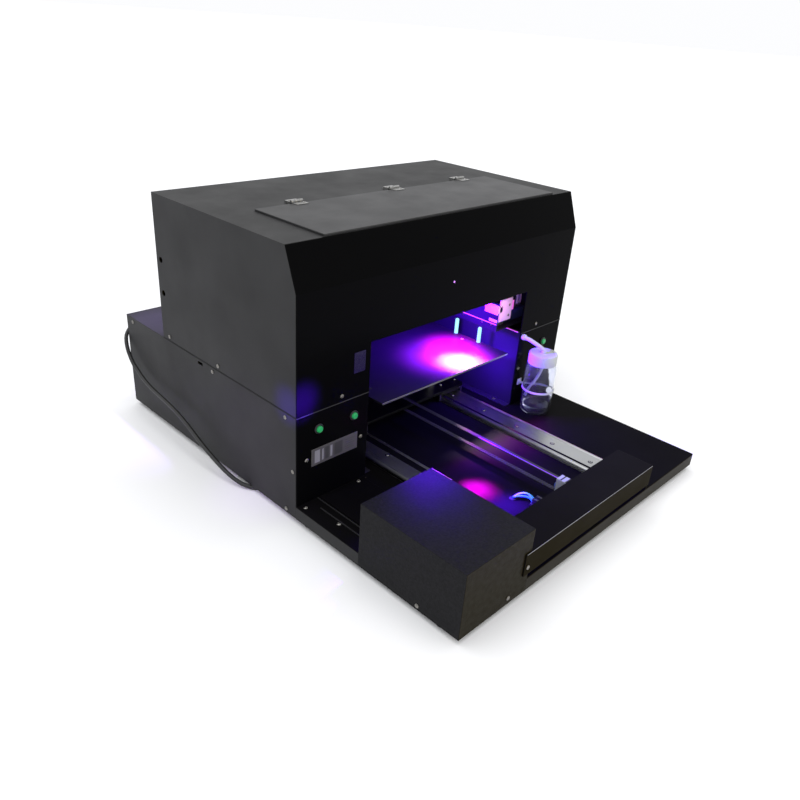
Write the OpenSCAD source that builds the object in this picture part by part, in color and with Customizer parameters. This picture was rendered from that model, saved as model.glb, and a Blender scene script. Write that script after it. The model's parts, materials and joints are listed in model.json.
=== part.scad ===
// Flatbed UV printer: a lower housing with a raised print cover, a sliding and lifting print table on
// twin rails, a cross-travelling print head with a UV lamp, and an open bed in front.
// Millimetres. X is to the right, -Y is the front, +Z is up. The origin is the bottom centre.

/* [Overall] */
// Width of the housing
body_w = 650; // [640:1:660]
// Depth of the machine, open bed included
body_l = 820; // [816:1:830]
// Thickness of the folded sheet steel
sheet = 2; // [1.5:0.5:2]
// Height of the rubber feet
foot_h = 9; // [9:1:12]

/* [Housing] */
// Height of the seam between the lower housing and the print cover
seam_z = 182; // [180:1:184]
// Height of the print cover's flat top
cover_z = 425; // [420:1:430]
// Front plane of the housing
front_y = -85; // [-86:1:-84]
// Rear plane of the print cover
cover_rear_y = 278; // [270:1:285]
// Height at which the front starts to lean back
knee_z = 364; // [355:1:370]
// How far the top front edge leans back from the front plane
lean = 23; // [20:1:26]

/* [Print tunnel] */
// Left edge of the tunnel mouth
mouth_left = -187; // [-189:1:-186]
// Right edge of the tunnel mouth
mouth_right = 197; // [196:1:200]
// Top edge of the tunnel mouth
mouth_z = 264; // [255:1:270]

/* [Bed] */
// Height of the tray deck in front of the housing
deck_z = 32; // [32:1:33]
// Right edge of the tray
tray_right = 312; // [305:1:318]
// Distance of each rail from the centre line
rail_x = 127; // [124:1:129]
// Front end of the rails
rail_front = -333; // [-336:1:-325]

/* [Print table] */
// Width of the print table
table_w = 320; // [300:10:330]
// Length of the print table
table_l = 430; // [420:10:440]
// Height of the print table's top when it is fully raised
table_z = 154; // [153:1:154]
// How far the table lifts
table_lift = 30; // [20:1:30]

/* [Lid] */
// Left edge of the lid
lid_left = -258; // [-262:1:-250]
// Right edge of the lid
lid_right = 272; // [265:1:276]
// Front edge of the lid
lid_front = -58; // [-59:1:-50]
// Thickness of the lid
lid_t = 3; // [3:0.5:4]

/* [Mains lead] */
// Diameter of the lead
lead_d = 7; // [6:0.5:7]
// Mean radius of the stored coil
coil_r = 39.5; // [39:0.5:40]

/* [Hidden] */
$fn = 48;

half_w = body_w / 2;
inner_w = half_w - sheet;
half_l = body_l / 2;
rear_y = half_l;
bed_front_y = -half_l + sheet;
floor_z = foot_h + sheet;
lean_slope = lean / (cover_z - knee_z);
panel_back_y = front_y + sheet;

// Corner box over the front left of the tray
box_right = -187;
box_rear = -222;
box_z = 114;

// Front lip of the bed
lip_left = -201;
lip_right = 140;
lip_rear = -346;
lip_z = [42, 78];

// Belt drive of the print table
belt_z = 59;
belt_r = 11;
belt_half_w = 4;
belt_half_t = 0.75;
idler_y = -335;
drive_y = 368;
pulley_r = 10;
flange_r = 12.5;

// Sliding stage under the print table
stage_x = 150;
stage_y = [0, 300];
stage_z = [56, 61];
block_ys = [10, 230];
post_xs = [-100, 100];
post_ys = [42, 258];
post_r = 6;
screw_at = [48, 120];
screw_r = 2.5;
frame_z = [139, 151];
post_top = frame_z[0] - table_lift - 1;
peg_ys = [-21, 35];
peg_r = 3.5;
peg_in = 4.5;
running_gap = 0.05;

// Cross travel of the print head
head_x = [150, 258];
head_y = [-62, 41];
head_z = [190, 262];
shaft_y = 52;
shaft_z = 240;
shaft_r = 6;
head_belt_y = [70, 76];
head_belt_z = 262;
head_pulley_r = 8;
head_pulley_xs = [-290, 290];
beam_y = 84;
frame_x = 306;

// Push buttons: x and z of each on the front plane
button_xz = [[-285, 153], [-217, 152], [275, 148]];
button_r = 5;
button_bore = 5.4;

// Three hinges of the lid
hinge_xs = [-178, 31, 202];
hinge_y = 104;
hinge_z = cover_z + 5;
hinge_pin_r = 1.2;
hinge_half = 11;

// Waste ink bottle on the tray
bottle_at = [222, -125, deck_z];
bottle_r = 29;

// Mains lead: hand-placed route round the rear left corner, down the side, under the base and out
outlet_at = [-262, rear_y, 150];
lead_r = lead_d / 2;
lead_route = [[-302, 425, 150], [-310, 425, 150], [-319, 422, 145], [-327, 416, 138], [-332, 408, 129],
  [-335, 399, 119], [-336, 390, 108], [-337, 378, 98], [-337, 362, 89], [-338, 342, 81], [-339, 318, 76],
  [-340, 292, 73], [-341, 264, 71], [-342, 236, 68], [-343, 208, 63], [-344, 182, 56], [-345, 158, 48],
  [-345, 134, 39], [-344, 110, 30], [-342, 86, 21], [-338, 64, 13], [-331, 44, 7], [-319, 28, 4],
  [-304, 17, 4], [-286, 14, 4], [-268, 20, 4], [-255, 34, 4], [-246, 54, 4], [-236, 84, 4],
  [-224, 120, 4], [-208, 165, 4], [-190, 215, 4], [-172, 265, 4], [-154, 315, 4], [-139, 360, 4],
  [-128, 400, 4], [-121, 436, 4], [-118, 458, 4]];
coil_at = [-75, 475];
plug_x = -48;

// Box between two opposite corners
module block(lo, hi) {
  translate(lo)
    cube(hi - lo);
}

// Round bar from a point along +X, +Y or +Z
module bar_x(at, r, l) {
  translate(at)
    rotate([0, 90, 0])
      cylinder(r = r, h = l);
}

module bar_y(at, r, l) {
  translate(at)
    rotate([-90, 0, 0])
      cylinder(r = r, h = l);
}

module bar_z(at, r, l) {
  translate(at)
    cylinder(r = r, h = l);
}

// Plate with a side outline of [y, z] points, from x0 to x1
module side_plate(x0, x1, outline) {
  translate([x0, 0, 0])
    rotate([90, 0, 90])
      linear_extrude(x1 - x0)
        polygon(outline);
}

// Rubber feet under the base
module feet() {
  color("#1a1a1a")
    for (at = [[-305, 365], [305, 365], [-305, -370], [290, -370], [-305, -100], [295, -100]])
      difference() {
        bar_z([at[0], at[1], 0], 14, foot_h);
        bar_z([at[0], at[1], -1], 4, 5);
      }
}

// Outline of the tray in front of the housing, notched for the corner box's walls
function tray_outline() = [[-half_w + sheet, bed_front_y + sheet], [box_right, bed_front_y + sheet],
  [box_right, bed_front_y], [tray_right, bed_front_y], [tray_right, panel_back_y],
  [-half_w, panel_back_y], [-half_w, box_rear], [-half_w + sheet, box_rear]];

// Floor of the machine with the folded-up edges of the tray
module base_pan() {
  color("#202022")
    union() {
      translate([0, 0, foot_h])
        linear_extrude(sheet)
          union() {
            polygon(tray_outline());
            translate([-inner_w, panel_back_y])
              square([2 * inner_w, rear_y - sheet - panel_back_y]);
          }
      block([box_right, bed_front_y, floor_z], [tray_right, bed_front_y + sheet, deck_z - sheet]);
      block([-half_w, box_rear, floor_z], [-half_w + sheet, panel_back_y, deck_z - sheet]);
      block([tray_right - sheet, bed_front_y, floor_z], [tray_right, panel_back_y, deck_z - sheet]);
    }
}

// Deck of the tray, running back through the tunnel, and the raised cover plate of the left bay
module tray_deck() {
  color("#1c1c1e") {
    translate([0, 0, deck_z - sheet])
      linear_extrude(sheet)
        union() {
          polygon(tray_outline());
          translate([-inner_w + 20, panel_back_y - 1])
            square([2 * inner_w - 40, 400]);
        }
    block([-283, box_rear + 1, deck_z], [-195, front_y - 4, deck_z + sheet]);
  }
}

// Side walls and top rim of the lower housing
module lower_housing() {
  color("#1b1b1d")
    difference() {
      block([-half_w, panel_back_y, foot_h], [half_w, rear_y - sheet, seam_z]);
      block([-inner_w, panel_back_y - 1, foot_h - 1], [inner_w, rear_y, seam_z - sheet]);
      block([-303, panel_back_y - 1, seam_z - 10], [303, cover_rear_y - 20, seam_z + 1]);
      for (side = [-1, 1])
        translate([side * half_w, 165, 175])
          cube([3 * sheet, 14, 5], center = true);
    }
}

// Lower front panels on both sides of the tunnel mouth
module front_panel() {
  color("#161617")
    difference() {
      union() {
        block([-half_w, front_y, deck_z], [mouth_left, panel_back_y, seam_z]);
        block([mouth_right, front_y, deck_z], [half_w, panel_back_y, seam_z]);
        block([tray_right, front_y, foot_h], [half_w, panel_back_y, deck_z]);
      }
      for (at = button_xz)
        bar_y([at[0], front_y - 1, at[1]], 6.6, 4);
    }
}

// Rear panel with vents, the fan opening and the hole for the mains lead
module back_panel() {
  color("#1b1b1d")
    difference() {
      block([-half_w, rear_y - sheet, foot_h], [half_w, rear_y, seam_z]);
      for (row = [0:6])
        block([-70, rear_y - 3, 60 + 12 * row], [70, rear_y + 1, 65 + 12 * row]);
      bar_y([255, rear_y - 3, 100], 34, 4);
      bar_y([outlet_at[0], rear_y - 3, outlet_at[2]], 7.1, 4);
    }
}

// Outer side outline of the print cover's front, shifted back by a skin thickness
function cover_outline(skin) = let (shift = skin * sqrt(1 + lean_slope * lean_slope))
  [[front_y + skin, seam_z], [cover_rear_y, seam_z], [cover_rear_y, cover_z],
   [front_y + lean + shift, cover_z], [front_y + skin, knee_z - (shift - skin) / lean_slope]];

// Raised cover over the print head: two sides, top and back, with the service bay cut in its top
module print_cover() {
  color("#1c1c1e")
    difference() {
      union() {
        side_plate(-half_w, -inner_w, cover_outline(sheet));
        side_plate(inner_w, half_w, cover_outline(sheet));
        block([-inner_w, front_y + lean + 2.2, cover_z - sheet], [inner_w, cover_rear_y, cover_z]);
        block([-inner_w, cover_rear_y - sheet, seam_z], [inner_w, cover_rear_y, cover_z]);
      }
      block([-240, -44, cover_z - 5], [255, 88, cover_z + 1]);
      for (z = [264, 320])
        bar_x([-half_w - 1, 265, z], 5, sheet + 2);
    }
}

// Glossy front skin, upright below and leaning back above, with the tunnel mouth cut in it
module fascia() {
  inner = cover_outline(sheet);
  color("#0c0c0d")
    difference() {
      side_plate(-half_w, half_w,
        [[front_y, seam_z], inner[0], inner[4], inner[3], [front_y + lean, cover_z], [front_y, knee_z]]);
      block([mouth_left, front_y - 1, seam_z - 1], [mouth_right, panel_back_y + 1, mouth_z]);
    }
}

// Textured box over the front left corner of the tray
module corner_box() {
  x0 = -half_w;
  y0 = bed_front_y;
  color("#222226")
    union() {
      block([x0, y0, box_z - sheet], [box_right, box_rear, box_z]);
      block([x0, y0, foot_h], [x0 + sheet, box_rear, box_z - sheet]);
      block([x0, y0, foot_h], [box_right, y0 + sheet, box_z - sheet]);
      block([box_right - sheet, y0 + sheet, deck_z], [box_right, box_rear, box_z - sheet]);
      block([x0 + sheet, box_rear - sheet, deck_z], [box_right, box_rear, box_z - sheet]);
    }
}

// Folded lip across the front of the bed, with a tab screwed to the corner box
module front_lip() {
  front = -half_l;
  color("#232322")
    union() {
      block([lip_left, front, lip_z[0]], [lip_right, front + sheet, lip_z[1]]);
      block([box_right, front, lip_z[1] - sheet], [lip_right, lip_rear, lip_z[1]]);
      block([lip_right - sheet, front + sheet, deck_z], [lip_right, lip_rear, lip_z[1] - sheet]);
    }
}

// Inner side walls of the print tunnel, each with a foot flange and a folded ledge at its top
module tunnel_walls() {
  wall_y = [panel_back_y, 250];
  color("#29292e")
    for (side = [-1, 1]) {
      x = side < 0 ? mouth_left : mouth_right;
      xs = side < 0 ? [x - sheet, x, x + 14, x + 7] : [x, x + sheet, x - 14, x - 7];
      union() {
        block([xs[0], wall_y[0], deck_z], [xs[1], wall_y[1], 186]);
        block([min(x, xs[2]), wall_y[0], deck_z], [max(x, xs[2]), wall_y[1], deck_z + sheet]);
        block([min(x, xs[3]), wall_y[0], 184], [max(x, xs[3]), wall_y[1], 186]);
      }
    }
}

// Extruded rails, each with a ground steel rod let into both edges
module guide_rails() {
  length = 345 - rail_front;
  rod_x = 23;
  rod_z = deck_z + 5;
  for (side = [-1, 1]) {
    color("#b9babd")
      difference() {
        union() {
          block([side * rail_x - 28, rail_front, deck_z], [side * rail_x + 28, 345, deck_z + 1]);
          block([side * rail_x - 23, rail_front, deck_z], [side * rail_x + 23, 345, deck_z + 8]);
        }
        for (edge = [-1, 1])
          bar_y([side * rail_x + edge * rod_x, rail_front - 1, rod_z], 4, length + 2);
      }
    color("#dcdde0")
      for (edge = [-1, 1])
        bar_y([side * rail_x + edge * rod_x, rail_front, rod_z], 4, length);
  }
}

// Closed toothed belt round two pulleys whose axes lie along X
module belt_loop(y0, y1, z, r, side, half_t) {
  difference() {
    union() {
      bar_x([-side, y0, z], r + half_t, 2 * side);
      bar_x([-side, y1, z], r + half_t, 2 * side);
      block([-side, y0, z - r - half_t], [side, y1, z + r + half_t]);
    }
    bar_x([-side - 1, y0, z], r - half_t, 2 * side + 2);
    bar_x([-side - 1, y1, z], r - half_t, 2 * side + 2);
    block([-side - 1, y0, z - r + half_t], [side + 1, y1, z + r - half_t]);
  }
}

// Belt that pulls the print table
module drive_belt() {
  color("#3a3a40")
    belt_loop(idler_y, drive_y, belt_z, belt_r, belt_half_w, belt_half_t);
}

// Bracket of the front idler: two cheeks, the fixed axle and a pale clip over the belt
module idler_bracket() {
  clip_z = belt_z + belt_r + 2;
  color("#d9dbe0")
    union() {
      block([-9, idler_y - 14, deck_z], [9, idler_y + 14, deck_z + 3]);
      for (side = [-1, 1])
        block([side * 7.5 - 0.8, idler_y - 13, deck_z], [side * 7.5 + 0.8, idler_y + 9, clip_z + 1]);
      block([-7.5, idler_y - 13, clip_z], [7.5, idler_y + 9, clip_z + 1.5]);
      bar_x([-9, idler_y, belt_z], 3, 18);
    }
}

// Flanged belt pulley with its axis along X
module belt_pulley(y, z) {
  bar_x([-5, y, z], pulley_r, 10);
  for (x = [-6, 4.7])
    bar_x([x, y, z], flange_r, 1.3);
}

module idler_pulley() {
  color("#c9c9cc")
    difference() {
      union()
        belt_pulley(idler_y, belt_z);
      bar_x([-7, idler_y, belt_z], 3 + running_gap, 14);
    }
}

// Drive pulley in one piece with the motor shaft
module drive_pulley() {
  color("#c9c9cc")
    union() {
      belt_pulley(drive_y, belt_z);
      bar_x([-8, drive_y, belt_z], 4, 28);
    }
}

// Stepping motor of the table drive, on its own bracket
module table_motor() {
  half = 26;
  color("#2b2b2e") {
    difference() {
      block([12, drive_y - half, belt_z - half], [66, drive_y + half, belt_z + half]);
      bar_x([11, drive_y, belt_z], 4 + running_gap, 12);
    }
    difference() {
      block([9, drive_y - half, deck_z - sheet - 16], [12, drive_y + half, belt_z + half]);
      bar_x([8, drive_y, belt_z], 6, 5);
    }
  }
}

// Optical switch at the front end of the table's travel
module limit_sensor() {
  color("#141415")
    union() {
      block([-48, -326, deck_z], [-28, -310, deck_z + 4]);
      block([-46, -324, deck_z + 4], [-42, -312, deck_z + 13]);
      block([-36, -324, deck_z + 4], [-32, -312, deck_z + 13]);
    }
}

// Sliding stage that the table stands on
module slide_plate() {
  color("#8b8d92")
    difference() {
      block([-stage_x, stage_y[0], stage_z[0]], [stage_x, stage_y[1], stage_z[1]]);
      bar_z([screw_at[0], screw_at[1], stage_z[0] - 1], 4, 7);
    }
}

// Four bearing blocks that straddle the rails
module bearing_blocks() {
  color("#c4c6ca")
    for (side = [-1, 1])
      for (y = block_ys)
        difference() {
          block([side * rail_x - 33, y, deck_z + 2], [side * rail_x + 33, y + 60, stage_z[0]]);
          block([side * rail_x - 27.5, y - 1, deck_z], [side * rail_x + 27.5, y + 61, deck_z + 9.5]);
        }
}

// Clamp that ties the stage to the belt's upper strand
module belt_clamp() {
  strand = belt_z + belt_r;
  color("#a9abb0")
    difference() {
      block([-10, 135, stage_z[1]], [10, 165, strand + 7]);
      block([-belt_half_w - 0.6, 134, strand - 1.4], [belt_half_w + 0.6, 166, strand + 1.4]);
    }
}

// Guide posts of the table lift
module lift_posts() {
  color("#d5d6d9")
    for (x = post_xs)
      for (y = post_ys)
        union() {
          bar_z([x, y, stage_z[1]], 12, 4);
          bar_z([x, y, stage_z[1]], post_r, post_top - stage_z[1]);
        }
}

// Motor that turns the lift screw, hung under the stage
module lift_motor() {
  color("#2b2b2e")
    difference() {
      block([screw_at[0] - 18, screw_at[1] - 18, deck_z + 2],
        [screw_at[0] + 18, screw_at[1] + 18, stage_z[0]]);
      bar_z([screw_at[0], screw_at[1], stage_z[0] - 13], screw_r + running_gap, 14);
    }
}

// Lift screw that stands in its motor
module lift_screw() {
  color("#c9cacd")
    bar_z([screw_at[0], screw_at[1], stage_z[0] - 12], screw_r, post_top - stage_z[0] + 12);
}

// Bars under the print table, with the sleeves that ride on the lift posts and the screw's nut
module table_frame() {
  sleeve_z = 96;
  color("#55565a") {
    for (x = [-110, 90])
      block([x, -60, frame_z[0]], [x + 20, 320, frame_z[1]]);
    for (y = [-60, 25, 110, 195, 280])
      block([-90, y, frame_z[0]], [90, y + 20, frame_z[1]]);
    for (x = post_xs)
      for (y = post_ys)
        difference() {
          bar_z([x, y, sleeve_z], 9, frame_z[0] - sleeve_z);
          bar_z([x, y, sleeve_z - 1], post_r + running_gap, frame_z[0] - sleeve_z + 2);
        }
    difference() {
      block([screw_at[0] - 10, screw_at[1] - 10, sleeve_z], [screw_at[0] + 10, screw_at[1] + 10, frame_z[0]]);
      bar_z([screw_at[0], screw_at[1], sleeve_z - 1], screw_r + running_gap, frame_z[0] - sleeve_z + 1);
    }
  }
}

// Print table that carries the work, notched in its right edge for the pegs
module print_table() {
  right = table_w / 2;
  color("#17171a")
    difference() {
      block([-right, front_y - 3, frame_z[1]], [right, front_y - 3 + table_l, table_z]);
      for (y = peg_ys) {
        bar_z([right - peg_in, y, frame_z[1] - 1], peg_r, 5);
        block([right - peg_in, y - peg_r, frame_z[1] - 1], [right + 1, y + peg_r, table_z + 1]);
      }
    }
}

// Clear locating pegs in the notches of the table's right edge
module table_pegs() {
  color("#bff4ff")
    for (y = peg_ys)
      bar_z([table_w / 2 - peg_in, y, frame_z[1]], peg_r, table_z + 30 - frame_z[1]);
}

// Cross beam with end plates and the ink shelf
module mechanism_frame() {
  color("#3c3d41")
    difference() {
      union() {
        block([-frame_x, beam_y, 192], [frame_x, beam_y + 3, 290]);
        block([-frame_x, beam_y, 288], [frame_x, 240, 290]);
        for (side = [-1, 1])
          block([min(side * frame_x, side * (frame_x + 3)), -20, seam_z],
            [max(side * frame_x, side * (frame_x + 3)), 240, 290]);
        bar_y([head_pulley_xs[1], 66, head_belt_z], 2.5, beam_y - 65);
      }
      bar_x([-frame_x - 4, shaft_y, shaft_z], shaft_r, 2 * frame_x + 8);
      bar_y([head_pulley_xs[0], beam_y - 1, head_belt_z], 4, 5);
    }
}

// Polished shaft that the head carriage slides on
module head_shaft() {
  color("#dcdde0")
    bar_x([-frame_x - 3, shaft_y, shaft_z], shaft_r, 2 * frame_x + 6);
}

// Closed belt of the head drive, in the plane of the beam
module head_belt() {
  r = head_pulley_r + 0.9;
  y0 = head_belt_y[0];
  width = head_belt_y[1] - y0;
  color("#3a3a40")
    difference() {
      union() {
        for (x = head_pulley_xs)
          bar_y([x, y0, head_belt_z], r + 0.6, width);
        block([head_pulley_xs[0], y0, head_belt_z - r - 0.6], [head_pulley_xs[1], y0 + width,
          head_belt_z + r + 0.6]);
      }
      for (x = head_pulley_xs)
        bar_y([x, y0 - 1, head_belt_z], r - 0.6, width + 2);
      block([head_pulley_xs[0], y0 - 1, head_belt_z - r + 0.6], [head_pulley_xs[1], y0 + width + 1,
        head_belt_z + r - 0.6]);
    }
}

// Flanged pulley of the head drive, with its axis along Y
module head_pulley(x) {
  bar_y([x, 68.2, head_belt_z], head_pulley_r, 9.6);
  for (y = [68.2, 76.5])
    bar_y([x, y, head_belt_z], 10, 1.3);
}

module head_drive_pulley() {
  color("#c9c9cc")
    union() {
      head_pulley(head_pulley_xs[0]);
      bar_y([head_pulley_xs[0], 77, head_belt_z], 2.5, 18);
    }
}

module head_idler_pulley() {
  color("#c9c9cc")
    difference() {
      union()
        head_pulley(head_pulley_xs[1]);
      bar_y([head_pulley_xs[1], 67, head_belt_z], 2.5 + running_gap, 12);
    }
}

// Motor of the head drive, behind the beam
module head_motor() {
  color("#2b2b2e")
    difference() {
      block([head_pulley_xs[0] - 14, beam_y + 3, head_belt_z - 20],
        [head_pulley_xs[0] + 26, beam_y + 41, head_belt_z + 20]);
      bar_y([head_pulley_xs[0], beam_y + 2, head_belt_z], 2.5 + running_gap, 12);
    }
}

// Folded carriage with its shaft bearings and the clip on the head belt
module head_carriage() {
  x0 = head_x[0];
  x1 = head_x[1];
  strand = head_belt_z + head_pulley_r + 0.9;
  color("#2b2b31")
    difference() {
      union() {
        block([x0, head_y[0], head_z[0]], [x1, head_y[1], head_z[0] + 3]);
        block([x0, head_y[1] - 3, head_z[0]], [x1, head_y[1], head_z[1]]);
        block([x0, head_y[0], head_z[0]], [x0 + 3, head_y[1], head_z[1] - 20]);
        block([x1 - 3, head_y[0], head_z[0]], [x1, head_y[1], head_z[1] - 20]);
        for (x = [x0 + 8, x1 - 28])
          block([x, head_y[1] - 1, shaft_z - 11], [x + 20, 63, shaft_z + 11]);
        block([200, head_y[1] - 3, head_z[1]], [216, 79, head_z[1] + 4]);
        block([200, 66, head_z[1]], [216, 79, strand + 5]);
      }
      block([194.5, -40.5, head_z[0] - 1], [245.5, 20.5, head_z[0] + 4]);
      block([x0 + 6.5, -44.5, head_z[0] - 1], [x0 + 33.5, 24.5, head_z[0] + 4]);
      bar_x([x0, shaft_y, shaft_z], shaft_r + running_gap, x1 - x0);
      block([199, 69.4, strand - 1.2], [217, 76.6, strand + 1.2]);
    }
}

// Print head let into the carriage floor
module print_head() {
  color("#2e5aa8")
    union() {
      block([195, -40, head_z[0] - 2], [245, 20, head_z[0] + 3]);
      block([191, -46, head_z[0] + 3], [252, 26, head_z[0] + 24]);
    }
}

// Ink dampers on the print head
module ink_dampers() {
  color("#d8d9dd")
    for (slot = [0:5])
      block([193 + slot * 9.5, -40, head_z[0] + 24], [200.5 + slot * 9.5, 18, head_z[0] + 56]);
}

// Lamp housing with cooling fins, and its window let into the carriage floor
module uv_lamp() {
  x0 = head_x[0];
  z0 = head_z[0];
  color("#7f8086")
    union() {
      block([x0 + 7, -44, z0 - 2], [x0 + 33, 24, z0 + 3]);
      block([x0 + 4, -50, z0 + 3], [x0 + 36, 30, z0 + 26]);
      for (fin = [0:6])
        block([x0 + 5 + fin * 4.6, -46, z0 + 26], [x0 + 7 + fin * 4.6, 26, z0 + 44]);
    }
}

// Capping station where the head parks
module capping_station() {
  color("#303136") {
    block([206, -48, deck_z], [262, 32, 168]);
    block([212, -42, 168], [256, 26, 178]);
  }
  color("#5a5b60")
    difference() {
      block([214, -40, 178], [254, 24, 184]);
      block([218, -36, 180], [250, 20, 185]);
    }
}

// Row of ink tanks on the shelf, each with a filler cap
module ink_tanks() {
  for (tank = [0:5])
    translate([-200 + tank * 80, 190, 290]) {
      color("#e4e6ea")
        block([-32, -40, 0], [32, 40, 84]);
      color("#303136")
        bar_z([0, 0, 84], 14, 12);
    }
}

// Power supply in the rear left of the base
module power_supply() {
  color("#9b9da1")
    block([-300, 230, deck_z], [-205, 390, deck_z + 45]);
}

// Control board at the rear right and driver board in the corner box
module circuit_boards() {
  color("#1f6b3a") {
    block([210, 110, deck_z + 6], [298, 290, deck_z + 8]);
    block([-310, -390, deck_z + 6], [-205, -240, deck_z + 8]);
    for (x = [218, 288])
      for (y = [120, 280])
        bar_z([x, y, deck_z], 3, 6);
    for (x = [-303, -212])
      for (y = [-382, -248])
        bar_z([x, y, deck_z], 3, 6);
  }
}

// Cooling fan housing on the rear panel
module fan_frame() {
  color("#151516")
    difference() {
      block([215, 383, 60], [295, rear_y - sheet, 140]);
      bar_y([255, 380, 100], 37, 40);
    }
  color("#151516")
    union() {
      bar_y([255, 383, 100], 12, 3);
      for (turn = [0:90:270])
        translate([255, 383, 100])
          rotate([0, turn, 0])
            block([0, 0, -2], [37.5, 3, 2]);
    }
}

// Fan wheel
module fan_rotor() {
  color("#26262a")
    union() {
      bar_y([255, 387, 100], 13, 18);
      for (blade = [0:6])
        translate([255, 396, 100])
          rotate([0, blade * 360 / 7, 0])
            translate([23, 0, 0])
              rotate([40, 0, 0])
                cube([24, 1.5, 16], center = true);
    }
}

// Lid over the service bay
module lid_panel() {
  color("#1a1a1c")
    block([lid_left, lid_front, cover_z], [lid_right, 100, cover_z + lid_t]);
}

// Hinge leaves and outer barrels that swing with the lid
module lid_hinges() {
  barrel = 6.6;
  leaf_z = cover_z + lid_t;
  color("#c4c5c8")
    for (x = hinge_xs)
      difference() {
        union() {
          block([x - hinge_half, 88, leaf_z], [x + hinge_half, hinge_y - 2.6, leaf_z + 1]);
          for (x0 = [x - hinge_half, x + hinge_half - barrel]) {
            bar_x([x0, hinge_y, hinge_z], 2.5, barrel);
            block([x0, hinge_y - 3, leaf_z], [x0 + barrel, hinge_y, leaf_z + 1]);
          }
        }
        bar_x([x - hinge_half - 1, hinge_y, hinge_z], hinge_pin_r + running_gap, 2 * hinge_half + 2);
      }
}

// Hinge leaves screwed to the cover, with the middle barrel and the pin
module hinge_bases() {
  color("#c4c5c8")
    for (x = hinge_xs)
      union() {
        block([x - hinge_half, hinge_y + 3, cover_z], [x + hinge_half, hinge_y + 16, cover_z + 4]);
        block([x - 4, hinge_y, cover_z + 3], [x + 4, hinge_y + 4, cover_z + 4]);
        bar_x([x - 4, hinge_y, hinge_z], 2.5, 8);
        bar_x([x - hinge_half, hinge_y, hinge_z], hinge_pin_r, 2 * hinge_half);
      }
}

// Bezel, barrel and switch behind each push button
module button_bezels() {
  color("#2c2d30")
    for (at = button_xz)
      translate([at[0], 0, at[1]]) {
        difference() {
          union() {
            bar_y([0, front_y - 2.5, 0], 8, 2.5);
            bar_y([0, front_y, 0], 6.5, 11);
          }
          bar_y([0, front_y - 4, 0], button_bore, 16);
        }
        block([-7, front_y + 11, -7], [7, front_y + 27, 7]);
      }
}

// Lit cap of a push button
module button_cap(index) {
  at = button_xz[index];
  color("#35d07c")
    bar_y([at[0], front_y - 5, at[1]], button_r, 13);
}

module start_button() {
  button_cap(0);
}

module stop_button() {
  button_cap(1);
}

module feed_button() {
  button_cap(2);
}

// Blank grey plate under the left buttons
module rating_plate() {
  color("#8f9094")
    block([-298, front_y - 0.6, 92], [-208, front_y, 121]);
}

// Small dark window in the fascia
module view_window() {
  color("#050507")
    block([-220, front_y - 0.8, 222], [-198, front_y, 255]);
}

// Pan head screw whose head stands on a surface that faces the given way
module screw_head(at, facing) {
  turn = facing == "left" ? [0, -90, 0] : facing == "right" ? [0, 90, 0] :
    facing == "front" ? [90, 0, 0] : facing == "rear" ? [-90, 0, 0] : [0, 0, 0];
  translate(at)
    rotate(turn)
      union() {
        cylinder(r = 3.2, h = 1.2);
        translate([0, 0, 1.2])
          cylinder(r1 = 3.2, r2 = 2, h = 0.8);
      }
}

// Screws of the outer panels
module panel_screws() {
  color("#c3c4c8") {
    for (at = [[387, 174], [129, 174], [-59, 174], [-76, 90], [-60, 16], [257, 190], [112, 190]]) {
      screw_head([-half_w, at[0], at[1]], "left");
      screw_head([half_w, at[0], at[1]], "right");
    }
    for (at = [[-242, 192], [-307, 107], [-201, 109], [307, 107], [205, 109], [242, 192]])
      screw_head([at[0], front_y, at[1]], "front");
    for (x = [-300, -100, 100, 300])
      for (z = [24, 172])
        screw_head([x, rear_y, z], "rear");
    for (at = [[-316, -95, 0], [-304, -157, 0], [-210, -95, sheet], [-270, -205, sheet]])
      screw_head([at[0], at[1], deck_z + at[2]], "up");
    for (y = [-50, 130, 300])
      for (x = [mouth_left + 7, mouth_right - 7])
        screw_head([x, y, deck_z + sheet], "up");
    screw_head([-227, bed_front_y, 20], "front");
    screw_head([-half_w, -336, 16], "left");
    screw_head([-194, -half_l, 55], "front");
  }
}

// Clear round bottle for waste ink
module waste_bottle() {
  wall = 1.5;
  profile = [[0, 0], [24, 0], [bottle_r, 6], [bottle_r, 84], [27, 92], [24, 98], [24, 112], [24 - wall, 112],
    [24 - wall, 98], [27 - wall, 91], [bottle_r - wall, 84], [bottle_r - wall, 7], [23, 2], [0, 2]];
  color("#dfe6ee", 0.4)
    translate(bottle_at)
      rotate_extrude()
        polygon(profile);
}

// Screw cap of the bottle
module bottle_cap() {
  color("#e9ecf2")
    translate(bottle_at)
      difference() {
        bar_z([0, 0, 98.5], 26.5, 21.5);
        bar_z([0, 0, 97], 24.3, 18);
      }
}

// Stiff drain tube from a grommet in the front down to a nipple on the cap, and the bottle's strap
module waste_tube() {
  cap = bottle_at + [0, 0, 120];
  start = [204, front_y - 5, 175];
  run = start - cap - [0, 0, 5];
  length = norm(run);
  color("#e9ecf2") {
    union() {
      bar_z(cap, 4.5, 7);
      bar_y([start[0], front_y - 7, start[2]], 5.5, 7);
      translate(cap + [0, 0, 5])
        rotate([0, acos(run[2] / length), atan2(run[1], run[0])])
          cylinder(r = 4, h = length);
    }
    difference() {
      bar_z(bottle_at + [0, 0, 45], bottle_r + 2, 4);
      bar_z(bottle_at + [0, 0, 44], bottle_r + 0.1, 6);
    }
    block([214, bottle_at[1] + bottle_r + 0.6, deck_z + 45], [216, front_y, deck_z + 49]);
  }
}

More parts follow.
